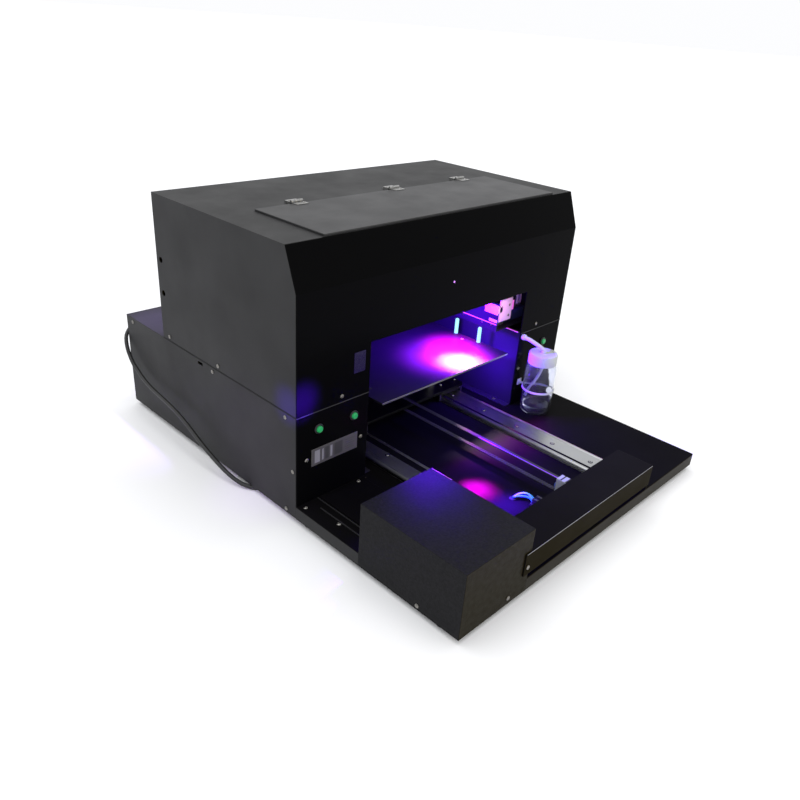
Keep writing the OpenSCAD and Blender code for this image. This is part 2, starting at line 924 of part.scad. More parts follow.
// Moulded right-angle outlet of the mains lead and its tapered strain relief
module lead_outlet() {
  x = outlet_at[0];
  z = outlet_at[2];
  color("#131314")
    union() {
      bar_y([x, rear_y - 6, z], 7, 6);
      block([x - 10, rear_y, z - 11], [x + 11, rear_y + 24, z + 11]);
      translate([lead_route[0][0], rear_y + 15, z])
        rotate([0, 90, 0])
          cylinder(r1 = lead_r + 0.8, r2 = 8, h = x - 9 - lead_route[0][0]);
    }
}

// Smooth curve through hand-placed points
function route_point(p, i, t) = let (a = p[max(i - 1, 0)], b = p[i], c = p[i + 1],
    d = p[min(i + 2, len(p) - 1)])
  0.5 * (2 * b + t * (c - a) + t * t * (2 * a - 5 * b + 4 * c - d) + t * t * t * (3 * b - a - 3 * c + d));
function route_curve(p, steps) = [for (i = [0:len(p) - 2]) for (k = [0:steps - 1])
  route_point(p, i, k / steps), p[len(p) - 1]];
function unit(v) = v / norm(v);
function heading(c, i) = unit(c[min(i + 1, len(c) - 1)] - c[max(i - 1, 0)]);
function square_to(u, t) = unit(u - (u * t) * t);

// Tube swept along a curve: one ring of points at each place, turned with the curve
module swept_tube(curve, r, sides) {
  last = len(curve) - 1;
  frames = [for (i = 0, u = square_to([0, 0.1, 1], heading(curve, 0)); i <= last;
    i = i + 1, u = i <= last ? square_to(u, heading(curve, i)) : u) [u, cross(heading(curve, i), u)]];
  points = [for (i = [0:last]) for (k = [0:sides - 1])
    curve[i] + r * (cos(360 * k / sides) * frames[i][0] + sin(360 * k / sides) * frames[i][1])];
  walls = [for (i = [0:last - 1]) for (k = [0:sides - 1]) let (n = (k + 1) % sides)
    [i * sides + k, (i + 1) * sides + k, (i + 1) * sides + n, i * sides + n]];
  start_cap = [[for (k = [0:sides - 1]) k]];
  end_cap = [[for (k = [sides - 1:-1:0]) last * sides + k]];
  polyhedron(points, concat(walls, start_cap, end_cap), convexity = 10);
}

// Free stretch of the mains lead
module lead_tube() {
  color("#131314")
    swept_tube(route_curve(lead_route, 2), lead_r, 8);
}

// Outer shape of the stored coil: two turns side by side in two layers
module lead_coil() {
  color("#131314")
    translate([coil_at[0], coil_at[1], 0])
      rotate_extrude()
        translate([coil_r - lead_d, 0])
          square([2 * lead_d, 2 * lead_d]);
}

// Generic two-blade plug with its boot, lying beside the coil
module mains_plug() {
  at = [plug_x, coil_at[1] + coil_r + lead_r, 12];
  color("#131314")
    union() {
      translate(at)
        rotate([0, 90, 0])
          cylinder(r1 = lead_r + 0.8, r2 = 7, h = 26);
      block(at + [24, -13, -12], at + [58, 13, 12]);
    }
  color("#c8b273")
    for (y = [-7.2, 5.6])
      block(at + [58, y, -3.2], at + [76, y + 1.6, 3.2]);
}

feet();
base_pan();
tray_deck();
lower_housing();
front_panel();
back_panel();
print_cover();
fascia();
corner_box();
front_lip();
tunnel_walls();
guide_rails();
drive_belt();
idler_bracket();
idler_pulley();
drive_pulley();
table_motor();
limit_sensor();
slide_plate();
bearing_blocks();
belt_clamp();
lift_posts();
lift_motor();
lift_screw();
table_frame();
print_table();
table_pegs();
mechanism_frame();
head_shaft();
head_belt();
head_motor();
head_drive_pulley();
head_idler_pulley();
head_carriage();
print_head();
ink_dampers();
uv_lamp();
capping_station();
ink_tanks();
power_supply();
circuit_boards();
fan_frame();
fan_rotor();
lid_panel();
lid_hinges();
hinge_bases();
button_bezels();
start_button();
stop_button();
feed_button();
rating_plate();
view_window();
panel_screws();
waste_bottle();
bottle_cap();
waste_tube();
lead_outlet();
lead_tube();
lead_coil();
mains_plug();
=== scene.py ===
"""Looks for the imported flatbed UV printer: camera, light, materials and the detailed pieces."""
import json
import math
import random

import bmesh
import bpy
import numpy as np
from mathutils import Matrix, Vector


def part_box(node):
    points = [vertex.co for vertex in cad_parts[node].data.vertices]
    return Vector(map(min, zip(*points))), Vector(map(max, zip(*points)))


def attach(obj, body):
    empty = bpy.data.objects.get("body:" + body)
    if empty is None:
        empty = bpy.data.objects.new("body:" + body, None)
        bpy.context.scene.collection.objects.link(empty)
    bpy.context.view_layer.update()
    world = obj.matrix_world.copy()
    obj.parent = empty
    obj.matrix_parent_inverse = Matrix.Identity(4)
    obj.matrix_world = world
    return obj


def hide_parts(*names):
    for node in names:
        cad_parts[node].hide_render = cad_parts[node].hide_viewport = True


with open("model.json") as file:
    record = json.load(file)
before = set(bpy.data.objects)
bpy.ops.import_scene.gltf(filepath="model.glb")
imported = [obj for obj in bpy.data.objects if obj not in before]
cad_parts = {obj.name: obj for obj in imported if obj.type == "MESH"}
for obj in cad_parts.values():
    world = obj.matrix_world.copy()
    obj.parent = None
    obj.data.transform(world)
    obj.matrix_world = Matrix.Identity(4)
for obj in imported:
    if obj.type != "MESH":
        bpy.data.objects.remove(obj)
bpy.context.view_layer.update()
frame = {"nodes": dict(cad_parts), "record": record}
MM = 0.001
scene = bpy.context.scene
scene.view_settings.view_transform = "Standard"


def add(name, data):
    """A new object in the scene."""
    obj = bpy.data.objects.new(name, data)
    scene.collection.objects.link(obj)
    return obj


def turn_towards(light, aim):
    light.rotation_euler = (Vector(aim) - light.location).to_track_quat("-Z", "Y").to_euler()


# -------------------- camera, floor and light

CAMERA_AT = (-0.88096, -0.79931, 0.69104)
CAMERA_AZIMUTH = math.radians(46.92)
CAMERA_DROP = math.radians(27.56)
CAMERA_ROLL = math.radians(4.20)
CAMERA_LENS = 33.12


def make_camera():
    """A camera at the front left, looking down at the machine, with a slight roll."""
    flat = math.cos(CAMERA_DROP)
    back = Vector((-math.sin(CAMERA_AZIMUTH) * flat, -math.cos(CAMERA_AZIMUTH) * flat, math.sin(CAMERA_DROP)))
    right = (-back).cross(Vector((0, 0, 1))).normalized()
    up = right.cross(-back)
    turn_c, turn_s = math.cos(CAMERA_ROLL), math.sin(CAMERA_ROLL)
    axes = Matrix((right * turn_c + up * turn_s, up * turn_c - right * turn_s, back)).transposed()
    data = bpy.data.cameras.new("camera")
    data.lens = CAMERA_LENS
    data.sensor_width = 36
    data.clip_start, data.clip_end = 0.01, 60
    camera = add("camera", data)
    camera.matrix_world = Matrix.Translation(CAMERA_AT) @ axes.to_4x4()
    scene.camera = camera


def make_stage():
    """A wide pale floor and soft light from above."""
    mesh = bpy.data.meshes.new("floor")
    bm = bmesh.new()
    bmesh.ops.create_grid(bm, x_segments=8, y_segments=8, size=50)
    bm.to_mesh(mesh)
    bm.free()
    add("floor", mesh)
    finish = Shader("floor_pale", (0.90, 0.905, 0.92), 0.8, Specular_IOR_Level=0.1)
    finish.vary_roughness(3, 0.05)
    mesh.materials.append(MATERIALS["floor_pale"])
    world = bpy.data.worlds.new("studio")
    world.use_nodes = True
    background = world.node_tree.nodes["Background"]
    background.inputs["Color"].default_value = (0.98, 0.985, 1.0, 1)
    background.inputs["Strength"].default_value = 1.0
    scene.world = world
    sky = bpy.data.lights.new("overhead", "SUN")
    sky.energy = 1.1
    sky.angle = math.radians(70)
    add("overhead", sky).rotation_euler = (math.radians(-8), math.radians(-10), 0)
    lamp = bpy.data.lights.new("front_softbox", "AREA")
    lamp.shape = "RECTANGLE"
    lamp.size, lamp.size_y = 1.6, 1.0
    lamp.energy = 8
    lamp.color = (1.0, 0.86, 0.62)
    softbox = add("front_softbox", lamp)
    softbox.location = (0.3, -2.6, 0.9)
    turn_towards(softbox, (0, 0, 0.1))


# -------------------- materials

MATERIALS = {}
# Painted reflection: the olive tint of the warm room, put on the faces that look to -Y
FRONT_PAINTED_REFLECTION = (0.0085, 0.0060, 0.0)
VIOLET = (0.10, 0.004, 1.0)


class Shader:
    """A material with one Principled shader, filed under its name, and the nodes that feed it."""

    def __init__(self, name, color, roughness, metallic=0.0, **sockets):
        material = bpy.data.materials.new(name)
        material.use_nodes = True
        MATERIALS[name] = material
        self.tree = material.node_tree
        self.shader = self.tree.nodes["Principled BSDF"]
        self.coords = self.tree.nodes.new("ShaderNodeTexCoord")
        self.shader.inputs["Base Color"].default_value = (*color, 1)
        self.shader.inputs["Roughness"].default_value = roughness
        self.shader.inputs["Metallic"].default_value = metallic
        for socket, value in sockets.items():
            self.shader.inputs[socket.replace("_", " ")].default_value = value
        self.color = color
        self.roughness = roughness
        self.bumps = None

    def link(self, out, to):
        self.tree.links.new(out, to)

    def node(self, kind, out, **inputs):
        """An output of a new node; each input is a constant or another node's output."""
        node = self.tree.nodes.new("ShaderNode" + kind)
        for name, value in inputs.items():
            socket = node.inputs[name.replace("_", " ")]
            if isinstance(value, bpy.types.NodeSocket):
                self.link(value, socket)
            else:
                socket.default_value = value
        return node.outputs[out]

    def place(self, stretch=(1, 1, 1)):
        """Coordinates in metres, scaled per axis."""
        return self.node("Mapping", "Vector", Scale=stretch, Vector=self.coords.outputs["Object"])

    def noise(self, scale, stretch=(1, 1, 1), detail=4):
        return self.node("TexNoise", "Fac", Scale=scale, Detail=detail, Roughness=0.55,
                         Vector=self.place(stretch))

    def cells(self, scale):
        return self.node("TexVoronoi", "Distance", Scale=scale, Vector=self.place())

    def ramp(self, value, from_min, from_max, low, high):
        """Carries value's range from_min to from_max over to low to high."""
        return self.node("MapRange", "Result", From_Min=from_min, From_Max=from_max, To_Min=low, To_Max=high,
                         Value=value)

    def vary_roughness(self, scale, spread, stretch=(1, 1, 1)):
        clouds = self.noise(scale, stretch)
        value = self.ramp(clouds, 0.3, 0.7, self.roughness - spread, self.roughness + spread)
        self.link(value, self.shader.inputs["Roughness"])

    def blend_color(self, factor, other):
        """Another base colour over the present one, where factor is 1."""
        mix = self.tree.nodes.new("ShaderNodeMix")
        mix.data_type = "RGBA"
        socket = self.shader.inputs["Base Color"]
        if socket.is_linked:
            self.link(socket.links[0].from_socket, mix.inputs["A"])
        else:
            mix.inputs["A"].default_value = (*self.color, 1)
        mix.inputs["B"].default_value = (*other, 1)
        self.link(factor, mix.inputs["Factor"])
        self.link(mix.outputs["Result"], socket)

    def cloud_color(self, scale, times):
        """Clouds in which the base colour is a number of times as bright."""
        self.blend_color(self.ramp(self.noise(scale), 0.35, 0.65, 0, 1), tuple(c * times for c in self.color))

    def tint_front_painted_reflection(self, other):
        """Painted reflection: another base colour on the faces that look to -Y, standing in for the warm room
        they reflect.
        """
        across = self.node("SeparateXYZ", "Y", Vector=self.coords.outputs["Normal"])
        self.blend_color(self.ramp(across, -0.9, -0.5, 1, 0), other)

    def bump(self, height, depth, strength):
        """One more layer of bumps."""
        below = {"Normal": self.bumps} if self.bumps else {}
        self.bumps = self.node("Bump", "Normal", Distance=depth, Strength=strength, Height=height, **below)
        self.link(self.bumps, self.shader.inputs["Normal"])


def powder_black(name, color, roughness, specular=0.30, front=None):
    """Powder coat: fine orange peel, faint clouding and, with front, a painted reflection tinting the -Y faces.
    """
    s = Shader(name, color, roughness, Specular_IOR_Level=specular)
    s.cloud_color(6, 1.35)
    if front:
        s.tint_front_painted_reflection(front)
    s.vary_roughness(14, 0.05)
    s.bump(s.noise(900, detail=2), 0.00006, 0.5)


def gloss_black(name, color, roughness, specular):
    """Glossy painted sheet with wiping marks and dust that only change its gloss."""
    s = Shader(name, color, roughness, Specular_IOR_Level=specular)
    s.vary_roughness(26, 0.05, stretch=(1, 1, 4))
    s.bump(s.noise(3.5, detail=1), 0.0004, 0.12)
    s.bump(s.noise(700, detail=2), 0.00003, 0.25)


def wrinkle_black(name, color):
    """Wrinkle paint that glitters a little where light grazes it, with a painted olive reflection on its -Y
    faces.
    """
    s = Shader(name, color, 0.40, Specular_IOR_Level=0.05)
    s.cloud_color(300, 1.5)
    s.tint_front_painted_reflection(FRONT_PAINTED_REFLECTION)
    s.vary_roughness(120, 0.08)
    s.bump(s.cells(420), 0.00014, 0.5)
    s.bump(s.noise(900, detail=3), 0.00008, 0.4)


def metal(name, color, roughness, along=(60, 2, 60)):
    """Metal with fine drawn lines, which run along the axis that has the small number."""
    s = Shader(name, color, roughness, 1.0)
    s.vary_roughness(12, 0.08, stretch=along)
    s.cloud_color(4, 0.82)
    s.bump(s.noise(14, stretch=along, detail=3), 0.00002, 0.5)


def plastic(name, color, roughness=0.42, grain=1200, depth=0.00003):
    """Moulded plastic with faint clouds and a fine grain."""
    s = Shader(name, color, roughness)
    s.cloud_color(20, 0.86)
    s.vary_roughness(40, 0.05)
    s.bump(s.noise(grain, detail=2), depth, 0.5)


def clear(name, color, roughness, ior, passes):
    """Slightly wavy clear plastic or liquid."""
    s = Shader(name, color, roughness, Transmission_Weight=passes, IOR=ior)
    s.vary_roughness(70, 0.03)
    s.bump(s.noise(70, detail=2), 0.0003, 0.25)


def glowing(name, color, light, strength, roughness=0.3):
    """A face that gives off light of its own: a lamp, or a painted highlight or glow on a part that is no lamp.
    """
    s = Shader(name, color, roughness, Emission_Strength=strength)
    s.shader.inputs["Emission Color"].default_value = (*light, 1)
    s.vary_roughness(200, 0.05)
    s.cloud_color(60, 0.9)


# Paint
powder_black("black_sheet", (0.0175, 0.0175, 0.018), 0.5, 0.14, FRONT_PAINTED_REFLECTION)
powder_black("lid_black", (0.028, 0.028, 0.029), 0.45, 0.22)
# Painted shade: darker copies of the black powder coat for the deck and the lip, where the light from above
# doesn't fall
powder_black("painted_shade_black", (0.0032, 0.0030, 0.0034), 0.42, 0.008, FRONT_PAINTED_REFLECTION)
powder_black("lip_painted_shade_black", (0.0050, 0.0047, 0.0050), 0.42, 0.012, FRONT_PAINTED_REFLECTION)
powder_black("tunnel_steel", (0.013, 0.012, 0.018), 0.38, 0.06)
powder_black("carriage_dark", (0.008, 0.008, 0.011), 0.4, 0.12)
powder_black("motor_black", (0.02, 0.02, 0.022), 0.4)
powder_black("frame_grey", (0.05, 0.05, 0.055), 0.45)
gloss_black("black_gloss", (0.0024, 0.0024, 0.0026), 0.22, 0.012)
gloss_black("table_black", (0.012, 0.0115, 0.013), 0.42, 0.02)
wrinkle_black("textured_black", (0.0085, 0.0085, 0.0095))

# Metal
metal("rail_aluminium", (0.50, 0.51, 0.52), 0.34)
# Painted shade: a dark metal for the slide plate and the bearing blocks, which lie in the shade under the table
metal("dark_metal_painted_shade", (0.030, 0.030, 0.034), 0.45)
metal("lamp_metal", (0.36, 0.36, 0.38), 0.36)
metal("psu_steel", (0.48, 0.49, 0.50), 0.35)
metal("ground_steel", (0.62, 0.63, 0.65), 0.16, (2, 60, 60))
# Light metal for painted highlight strips on the front edges of the table and the lip
metal("painted_highlight_metal", (0.34, 0.34, 0.36), 0.40, (2, 60, 60))
metal("hinge_steel", (0.36, 0.36, 0.35), 0.30, (8, 60, 60))
metal("blade_brass", (0.62, 0.50, 0.28), 0.22, (8, 60, 60))
metal("screw_steel", (0.30, 0.29, 0.27), 0.30, (20, 20, 20))
metal("pulley_metal", (0.55, 0.55, 0.57), 0.28, (60, 60, 60))

# Plastic and rubber
plastic("rubber", (0.014, 0.014, 0.014), 0.75, 500, 0.0001)
plastic("belt", (0.02, 0.02, 0.022), 0.7, 2000, 0.00005)
plastic("cable_black", (0.010, 0.010, 0.010), 0.5, 900, 0.00004)
plastic("tie_black", (0.02, 0.02, 0.022), 0.85, 2500, 0.0002)
# Near-black for the painted shade in the seam under the cover
plastic("seam_shade_black", (0.002, 0.002, 0.002), 0.9)
plastic("dark_plastic", (0.016, 0.016, 0.018))
plastic("white_plastic", (0.53, 0.56, 0.56), 0.38)
plastic("idler_white", (0.40, 0.42, 0.48), 0.35)
# Pale bracket paint with a pink tint: painted light of the lamp on it
plastic("bracket_pink_painted_light", (0.62, 0.44, 0.60), 0.45)
plastic("head_blue", (0.022, 0.035, 0.11))
plastic("damper_smoke", (0.09, 0.08, 0.12), 0.35)
plastic("damper_white", (0.70, 0.71, 0.74), 0.4)
plastic("board_green", (0.02, 0.16, 0.06), 0.3)
plastic("label_grey", (0.078, 0.075, 0.075), 0.45)
plastic("label_light", (0.24, 0.24, 0.25), 0.45)
plastic("label_dark", (0.045, 0.045, 0.045), 0.45)
plastic("lead_blue", (0.04, 0.42, 0.62), 0.4)
plastic("lead_white", (0.20, 0.60, 0.72), 0.4)
clear("clear_plastic", (0.90, 0.92, 1.0), 0.04, 1.36, 0.985)
clear("waste_fluid", (0.66, 0.68, 0.78), 0.02, 1.33, 1.0)

# Things that give off light. Painted highlights: the edge and belt strips; painted glow: the pegs and the
# window
# Painted highlights: bright strips on edges and on the belt, glowing though they are no lamps
glowing("painted_highlight_belt", (0.10, 0.04, 0.30), (0.34, 0.02, 1.0), 0.5)
glowing("painted_highlight_edge", (0.30, 0.10, 0.30), (1.0, 0.16, 0.80), 0.55)
# Painted glow: the pegs shine by themselves, standing in for their fluorescence in the lamp's light
glowing("clear_peg", (0.02, 0.05, 0.06), (0.36, 0.86, 1.0), 1.3)
glowing("lamp_glass", (0.4, 0.2, 0.9), (0.45, 0.12, 1.0), 9.0)
glowing("lamp_diode", (0.6, 0.5, 0.9), (0.7, 0.4, 1.0), 14.0)
glowing("button_green", (0.015, 0.28, 0.08), (0.02, 0.8, 0.20), 0.13)
# Painted glow: faint violet light of the lamp in the dark window
glowing("window_black", (0.003, 0.003, 0.005), (0.18, 0.05, 1.0), 0.035, 0.2)
glowing("status_glow", (0.5, 0.2, 0.7), (0.55, 0.18, 1.0), 1.6)

INKS = {"ink_cyan": (0.0, 0.22, 0.5), "ink_magenta": (0.45, 0.01, 0.16), "ink_yellow": (0.65, 0.48, 0.02),
        "ink_black": (0.01, 0.01, 0.012), "ink_white": (0.75, 0.75, 0.75), "ink_varnish": (0.55, 0.50, 0.42)}
for ink, shade in INKS.items():
    plastic(ink, shade, 0.2)

# Nodes that look different from the rest of their slot: the deck and the lip take darker copies of the black
# paint, and the slide plate and the bearing blocks a darker metal, as painted shade
OWN_LOOK = {"tray_deck": "painted_shade_black", "front_lip": "lip_painted_shade_black", "lid_panel": "lid_black",
            "slide_plate": "dark_metal_painted_shade", "bearing_blocks": "dark_metal_painted_shade",
            "ink_dampers": "damper_smoke"}


# -------------------- mesh helpers


class Build:
    """Collects solids in one bmesh; slots are material names, in the order they are first used."""

    def __init__(self, name):
        self.name = name
        self.bm = bmesh.new()
        self.slots = []

    def slot(self, material):
        if material not in self.slots:
            self.slots.append(material)
        return self.slots.index(material)

    def paint(self, faces, material):
        index = self.slot(material)
        for face in faces:
            face.material_index = index

    def take(self, part, material, matrix=None):
        """Adds a finished bmesh, placed by matrix, and frees it."""
        if matrix is not None:
            bmesh.ops.transform(part, matrix=matrix, verts=part.verts)
        verts = {v: self.bm.verts.new(v.co) for v in part.verts}
        self.paint([self.bm.faces.new([verts[v] for v in face.verts]) for face in part.faces], material)
        part.free()

    def block(self, lo, hi, material, bevel, segments=2):
        """Box between two corners in millimetres, with rounded edges."""
        part = bmesh.new()
        bmesh.ops.create_cube(part, size=1)
        size = [(b - a) * MM for a, b in zip(lo, hi)]
        middle = [(a + b) / 2 * MM for a, b in zip(lo, hi)]
        for v in part.verts:
            v.co = Vector([c * s + m for c, s, m in zip(v.co, size, middle)])
        bmesh.ops.bevel(part, geom=part.edges[:], offset=bevel * MM, segments=segments, profile=0.6,
                        affect="EDGES")
        self.take(part, material)

    def lathe(self, profile, at, axis, material, sides=48, reach=None):
        """Turns [radius, height] points in millimetres round an axis ("x", "y", "z" or a vector) from at.

        reach(angle, radius, height) may change the radius, for ribs, lobes and threads."""
        part = bmesh.new()
        rings = []
        for r, h in profile:
            if r == 0:
                rings.append([part.verts.new((0, 0, h * MM))])
                continue
            ring = []
            for angle in angles(sides):
                radius = (reach(angle, r, h) if reach else r) * MM
                ring.append(part.verts.new((radius * math.cos(angle), radius * math.sin(angle), h * MM)))
            rings.append(ring)
        skin(part, rings)
        self.take(part, material, Matrix.Translation(Vector(at) * MM) @ turn_to(axis))

    def tube(self, points, radius, material, sides):
        """Round tube in millimetres along a list of points, with closed ends."""
        curve = [Vector(p) * MM for p in points]
        part = bmesh.new()
        up = Vector((0, 0, 1)) if abs((curve[1] - curve[0]).normalized().z) < 0.9 else Vector((1, 0, 0))
        rings = []
        for i, p in enumerate(curve):
            way = (curve[min(i + 1, len(curve) - 1)] - curve[max(i - 1, 0)]).normalized()
            up = (up - up.dot(way) * way).normalized()
            side = way.cross(up)
            rings.append([part.verts.new(p + radius * MM * (math.cos(a) * up + math.sin(a) * side))
                          for a in angles(sides)])
        skin(part, rings, capped=True)
        self.take(part, material)

    def done(self, body, replaces=(), smooth=35):
        """Makes the object, rides it on its body and hides the nodes it stands in for."""
        bmesh.ops.recalc_face_normals(self.bm, faces=self.bm.faces[:])
        mesh = bpy.data.meshes.new(self.name)
        self.bm.to_mesh(mesh)
        self.bm.free()
        for name in self.slots:
            mesh.materials.append(MATERIALS[name])
        mesh.shade_smooth()
        mesh.set_sharp_from_angle(angle=math.radians(smooth))
        obj = add(self.name, mesh)
        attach(obj, body)
        if replaces:
            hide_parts(*replaces)
        return obj


def angles(count):
    """Equal steps once round a circle."""
    return [2 * math.pi * k / count for k in range(count)]


def skin(part, rings, capped=False):
    """Faces between neighbouring rings of points; a ring of one point is a tip."""
    for low, high in zip(rings, rings[1:]):
        sides = max(len(low), len(high))
        for k in range(sides):
            n = (k + 1) % sides
            corners = [low[k % len(low)], low[n % len(low)], high[n % len(high)], high[k % len(high)]]
            unique = list(dict.fromkeys(corners))
            if len(unique) > 2:
                part.faces.new(unique)
    if capped:
        part.faces.new(rings[0][::-1])
        part.faces.new(rings[-1])


def turn_to(axis):
    """Rotation that carries +Z to an axis, given as a letter or a vector."""
    way = {"x": (1, 0, 0), "y": (0, 1, 0), "z": (0, 0, 1)}[axis] if isinstance(axis, str) else axis
    return Vector((0, 0, 1)).rotation_difference(Vector(way)).to_matrix().to_4x4()


def mm_box(node):
    """Corners of a CAD node in millimetres."""
    lo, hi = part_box(node)
    return np.array(lo) * 1000, np.array(hi) * 1000


def centre(node):
    """Middle of a CAD node's box in millimetres."""
    lo, hi = mm_box(node)
    return (lo + hi) / 2


def smooth_path(points, steps=8):
    """Catmull-Rom curve through a list of points."""
    p = [np.array(q, float) for q in points]
    out = []
    for i in range(len(p) - 1):
        a, b, c, d = p[max(i - 1, 0)], p[i], p[i + 1], p[min(i + 2, len(p) - 1)]
        for k in range(steps):
            t = k / steps
            out.append(0.5 * (2 * b + t * (c - a) + t * t * (2 * a - 5 * b + 4 * c - d)
                              + t ** 3 * (3 * b - a - 3 * c + d)))
    return out + [p[-1]]


def ease(value, start, end):
    """0 before start, 1 after end, smooth between."""
    t = min(max((value - start) / (end - start), 0), 1)
    return t * t * (3 - 2 * t)


# -------------------- places on the machine, in millimetres

FRONT, REAR = -85, 410
HALF_WIDTH = 325
RAIL_X = 127
LID_TOP, HINGE_TOP = 425, 429
FAN_X, FAN_Z, FAN_BLADES = 255, 100, 7


# -------------------- mains lead

LEAD_D = 7
LEAD_ROUTE = [
    (-302, 425, 150), (-310, 425, 150), (-319, 422, 145), (-327, 416, 138), (-332, 408, 129), (-335, 399, 119),
    (-336, 390, 108), (-337, 378, 98), (-337, 362, 89), (-338, 342, 81), (-339, 318, 76), (-340, 292, 73),
    (-341, 264, 71), (-342, 236, 68), (-343, 208, 63), (-344, 182, 56), (-345, 158, 48), (-345, 134, 39),
    (-344, 110, 30), (-342, 86, 21), (-338, 64, 13), (-331, 44, 7), (-319, 28, 4), (-304, 17, 4), (-286, 14, 4),
    (-268, 20, 4), (-255, 34, 4), (-246, 54, 4), (-236, 84, 4), (-224, 120, 4), (-208, 165, 4), (-190, 215, 4),
    (-172, 265, 4), (-154, 315, 4), (-139, 360, 4), (-128, 400, 4), (-121, 436, 4), (-118, 458, 4),
]
COIL_AT = (-75, 475)
COIL_R = 39.5
COIL_START = 201.6
COIL_SWEEP = 1191.6
COIL_STEPS = 160
PLUG_AT = (-48, COIL_AT[1] + COIL_R + LEAD_D / 2, 12)


def coil_path():
    """Stored turns, clockwise: out on the floor, in beside them, up on top, and out again to the plug."""
    points = []
    for step in range(1, COIL_STEPS + 1):
        swept = COIL_SWEEP * step / COIL_STEPS
        inward = ease(swept, 300, 360) - ease(swept, 880, 950)
        radius = COIL_R + LEAD_D / 2 + 3.2 * (1 - ease(swept, 0, 60)) - LEAD_D * inward
        height = 4 - 0.5 * ease(swept, 0, 60) + LEAD_D * ease(swept, 600, 660)
        height += 1.5 * ease(swept, 1130, COIL_SWEEP)
        angle = math.radians(COIL_START - swept)
        points.append((COIL_AT[0] + radius * math.cos(angle), COIL_AT[1] + radius * math.sin(angle), height))
    return points


def make_lead():
    """The mains lead from its strain relief to its plug, at its real length."""
    points = smooth_path(LEAD_ROUTE, 4) + coil_path()
    points += [(PLUG_AT[0] - before, *PLUG_AT[1:]) for before in (18, 9, 0)]
    points = [Vector([float(c) * MM for c in p]) for p in points]
    data = bpy.data.curves.new("mains_lead", "CURVE")
    data.dimensions = "3D"
    data.bevel_depth = LEAD_D / 2 * MM
    data.bevel_resolution = 5
    data.use_fill_caps = True
    line = data.splines.new("POLY")
    line.points.add(len(points) - 1)
    for point, at in zip(line.points, points):
        point.co = (*at, 1)
    line.use_smooth = True
    data.materials.append(MATERIALS["cable_black"])
    lead = add("mains_lead", data)
    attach(lead, "chassis")
    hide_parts("lead_tube", "lead_coil")
    plug, outlet, tie = make_plug(), make_outlet(), make_tie()


def make_plug():
    """Generic two-blade plug with a ribbed boot and moulded grips."""
    x, y, z = PLUG_AT
    b = Build("mains_plug_detail")
    boot = [(0, -1), (3.6, -1), (4.2, 0)]
    for rib in range(5):
        h, r = 2 + rib * 4.4, 4.3 + rib * 0.5
        boot += [(r, h), (r + 0.6, h + 0.4), (r + 0.6, h + 2.4), (r, h + 2.8)]
    boot += [(6.9, 26), (0, 26)]
    b.lathe(boot, PLUG_AT, "x", "cable_black", 28)
    b.block((x + 24, y - 12.6, 0.2), (x + 58, y + 12.6, 23.8), "cable_black", 3.2, 4)
    for side in (y - 12.6, y + 12.6):
        for rib in range(5):
            grip = x + 30 + rib * 4
            b.block((grip, side - 0.35, 6), (grip + 1.8, side + 0.35, 18), "cable_black", 0.3, 1)
    for blade in (y - 7.2, y + 5.6):
        b.block((x + 57, blade, z - 3.2), (x + 76, blade + 1.6, z + 3.2), "blade_brass", 0.5, 2)
    return b.done("chassis", ["mains_plug"])


def make_outlet():
    """Right-angle outlet on the rear panel with its tapered, slotted strain relief."""
    x, z = -262, centre("lead_outlet")[2]
    b = Build("lead_outlet_detail")
    b.block((x - 9.8, REAR, z - 10.8), (x + 10.8, REAR + 23.8, z + 10.8), "cable_black", 2.4, 3)
    b.lathe([(0, 0), (7, 0), (7, 5.8), (9, 6), (9, 7.4), (0, 7.4)], (x, REAR - 6, z), "y", "cable_black", 28)
    relief = [(0, 0), (LEAD_D / 2 + 0.5, 0), (LEAD_D / 2 + 0.9, 0.8)]
    length = x - 9 - LEAD_ROUTE[0][0]
    for rib in range(6):
        h, r = 2 + rib * (length - 4) / 6, 4.4 + rib * 0.55
        relief += [(r, h), (r + 0.5, h + 0.5), (r + 0.5, h + 2.4), (r - 0.2, h + 2.9)]
    relief += [(7.9, length), (0, length)]
    b.lathe(relief, (*LEAD_ROUTE[0][:2], z), "x", "cable_black", 28)
    return b.done("chassis", ["lead_outlet"])


def make_tie():
    """Hook-and-loop tie round the stored turns."""
    angle = math.radians(300)
    outward = Vector((math.cos(angle), math.sin(angle), 0))
    along = Vector((-outward.y, outward.x, 0))
    middle = Vector((COIL_AT[0], COIL_AT[1], 0)) + outward * COIL_R
    b = Build("lead_tie")
    part = bmesh.new()
    rings = []
    for shell in (7.0, 7.9):
        outline = []
        for a in angles(32):
            c, s = math.cos(a), math.sin(a)
            reach = shell / max(abs(c), abs(s), (abs(c) + abs(s)) / 1.5)
            height = max(7 + reach * s, 0.15 if shell > 7.5 else 0.9)
            outline.append(middle + outward * (reach * c) + Vector((0, 0, height)))
        for side in (-5.5, 5.5):
            rings.append([part.verts.new((p + along * side) * MM) for p in outline])
    inner_a, inner_b, outer_a, outer_b = rings
    skin(part, [inner_a, inner_b, outer_b, outer_a, inner_a])
    b.take(part, "tie_black")
    return b.done("chassis")


# -------------------- detailed pieces


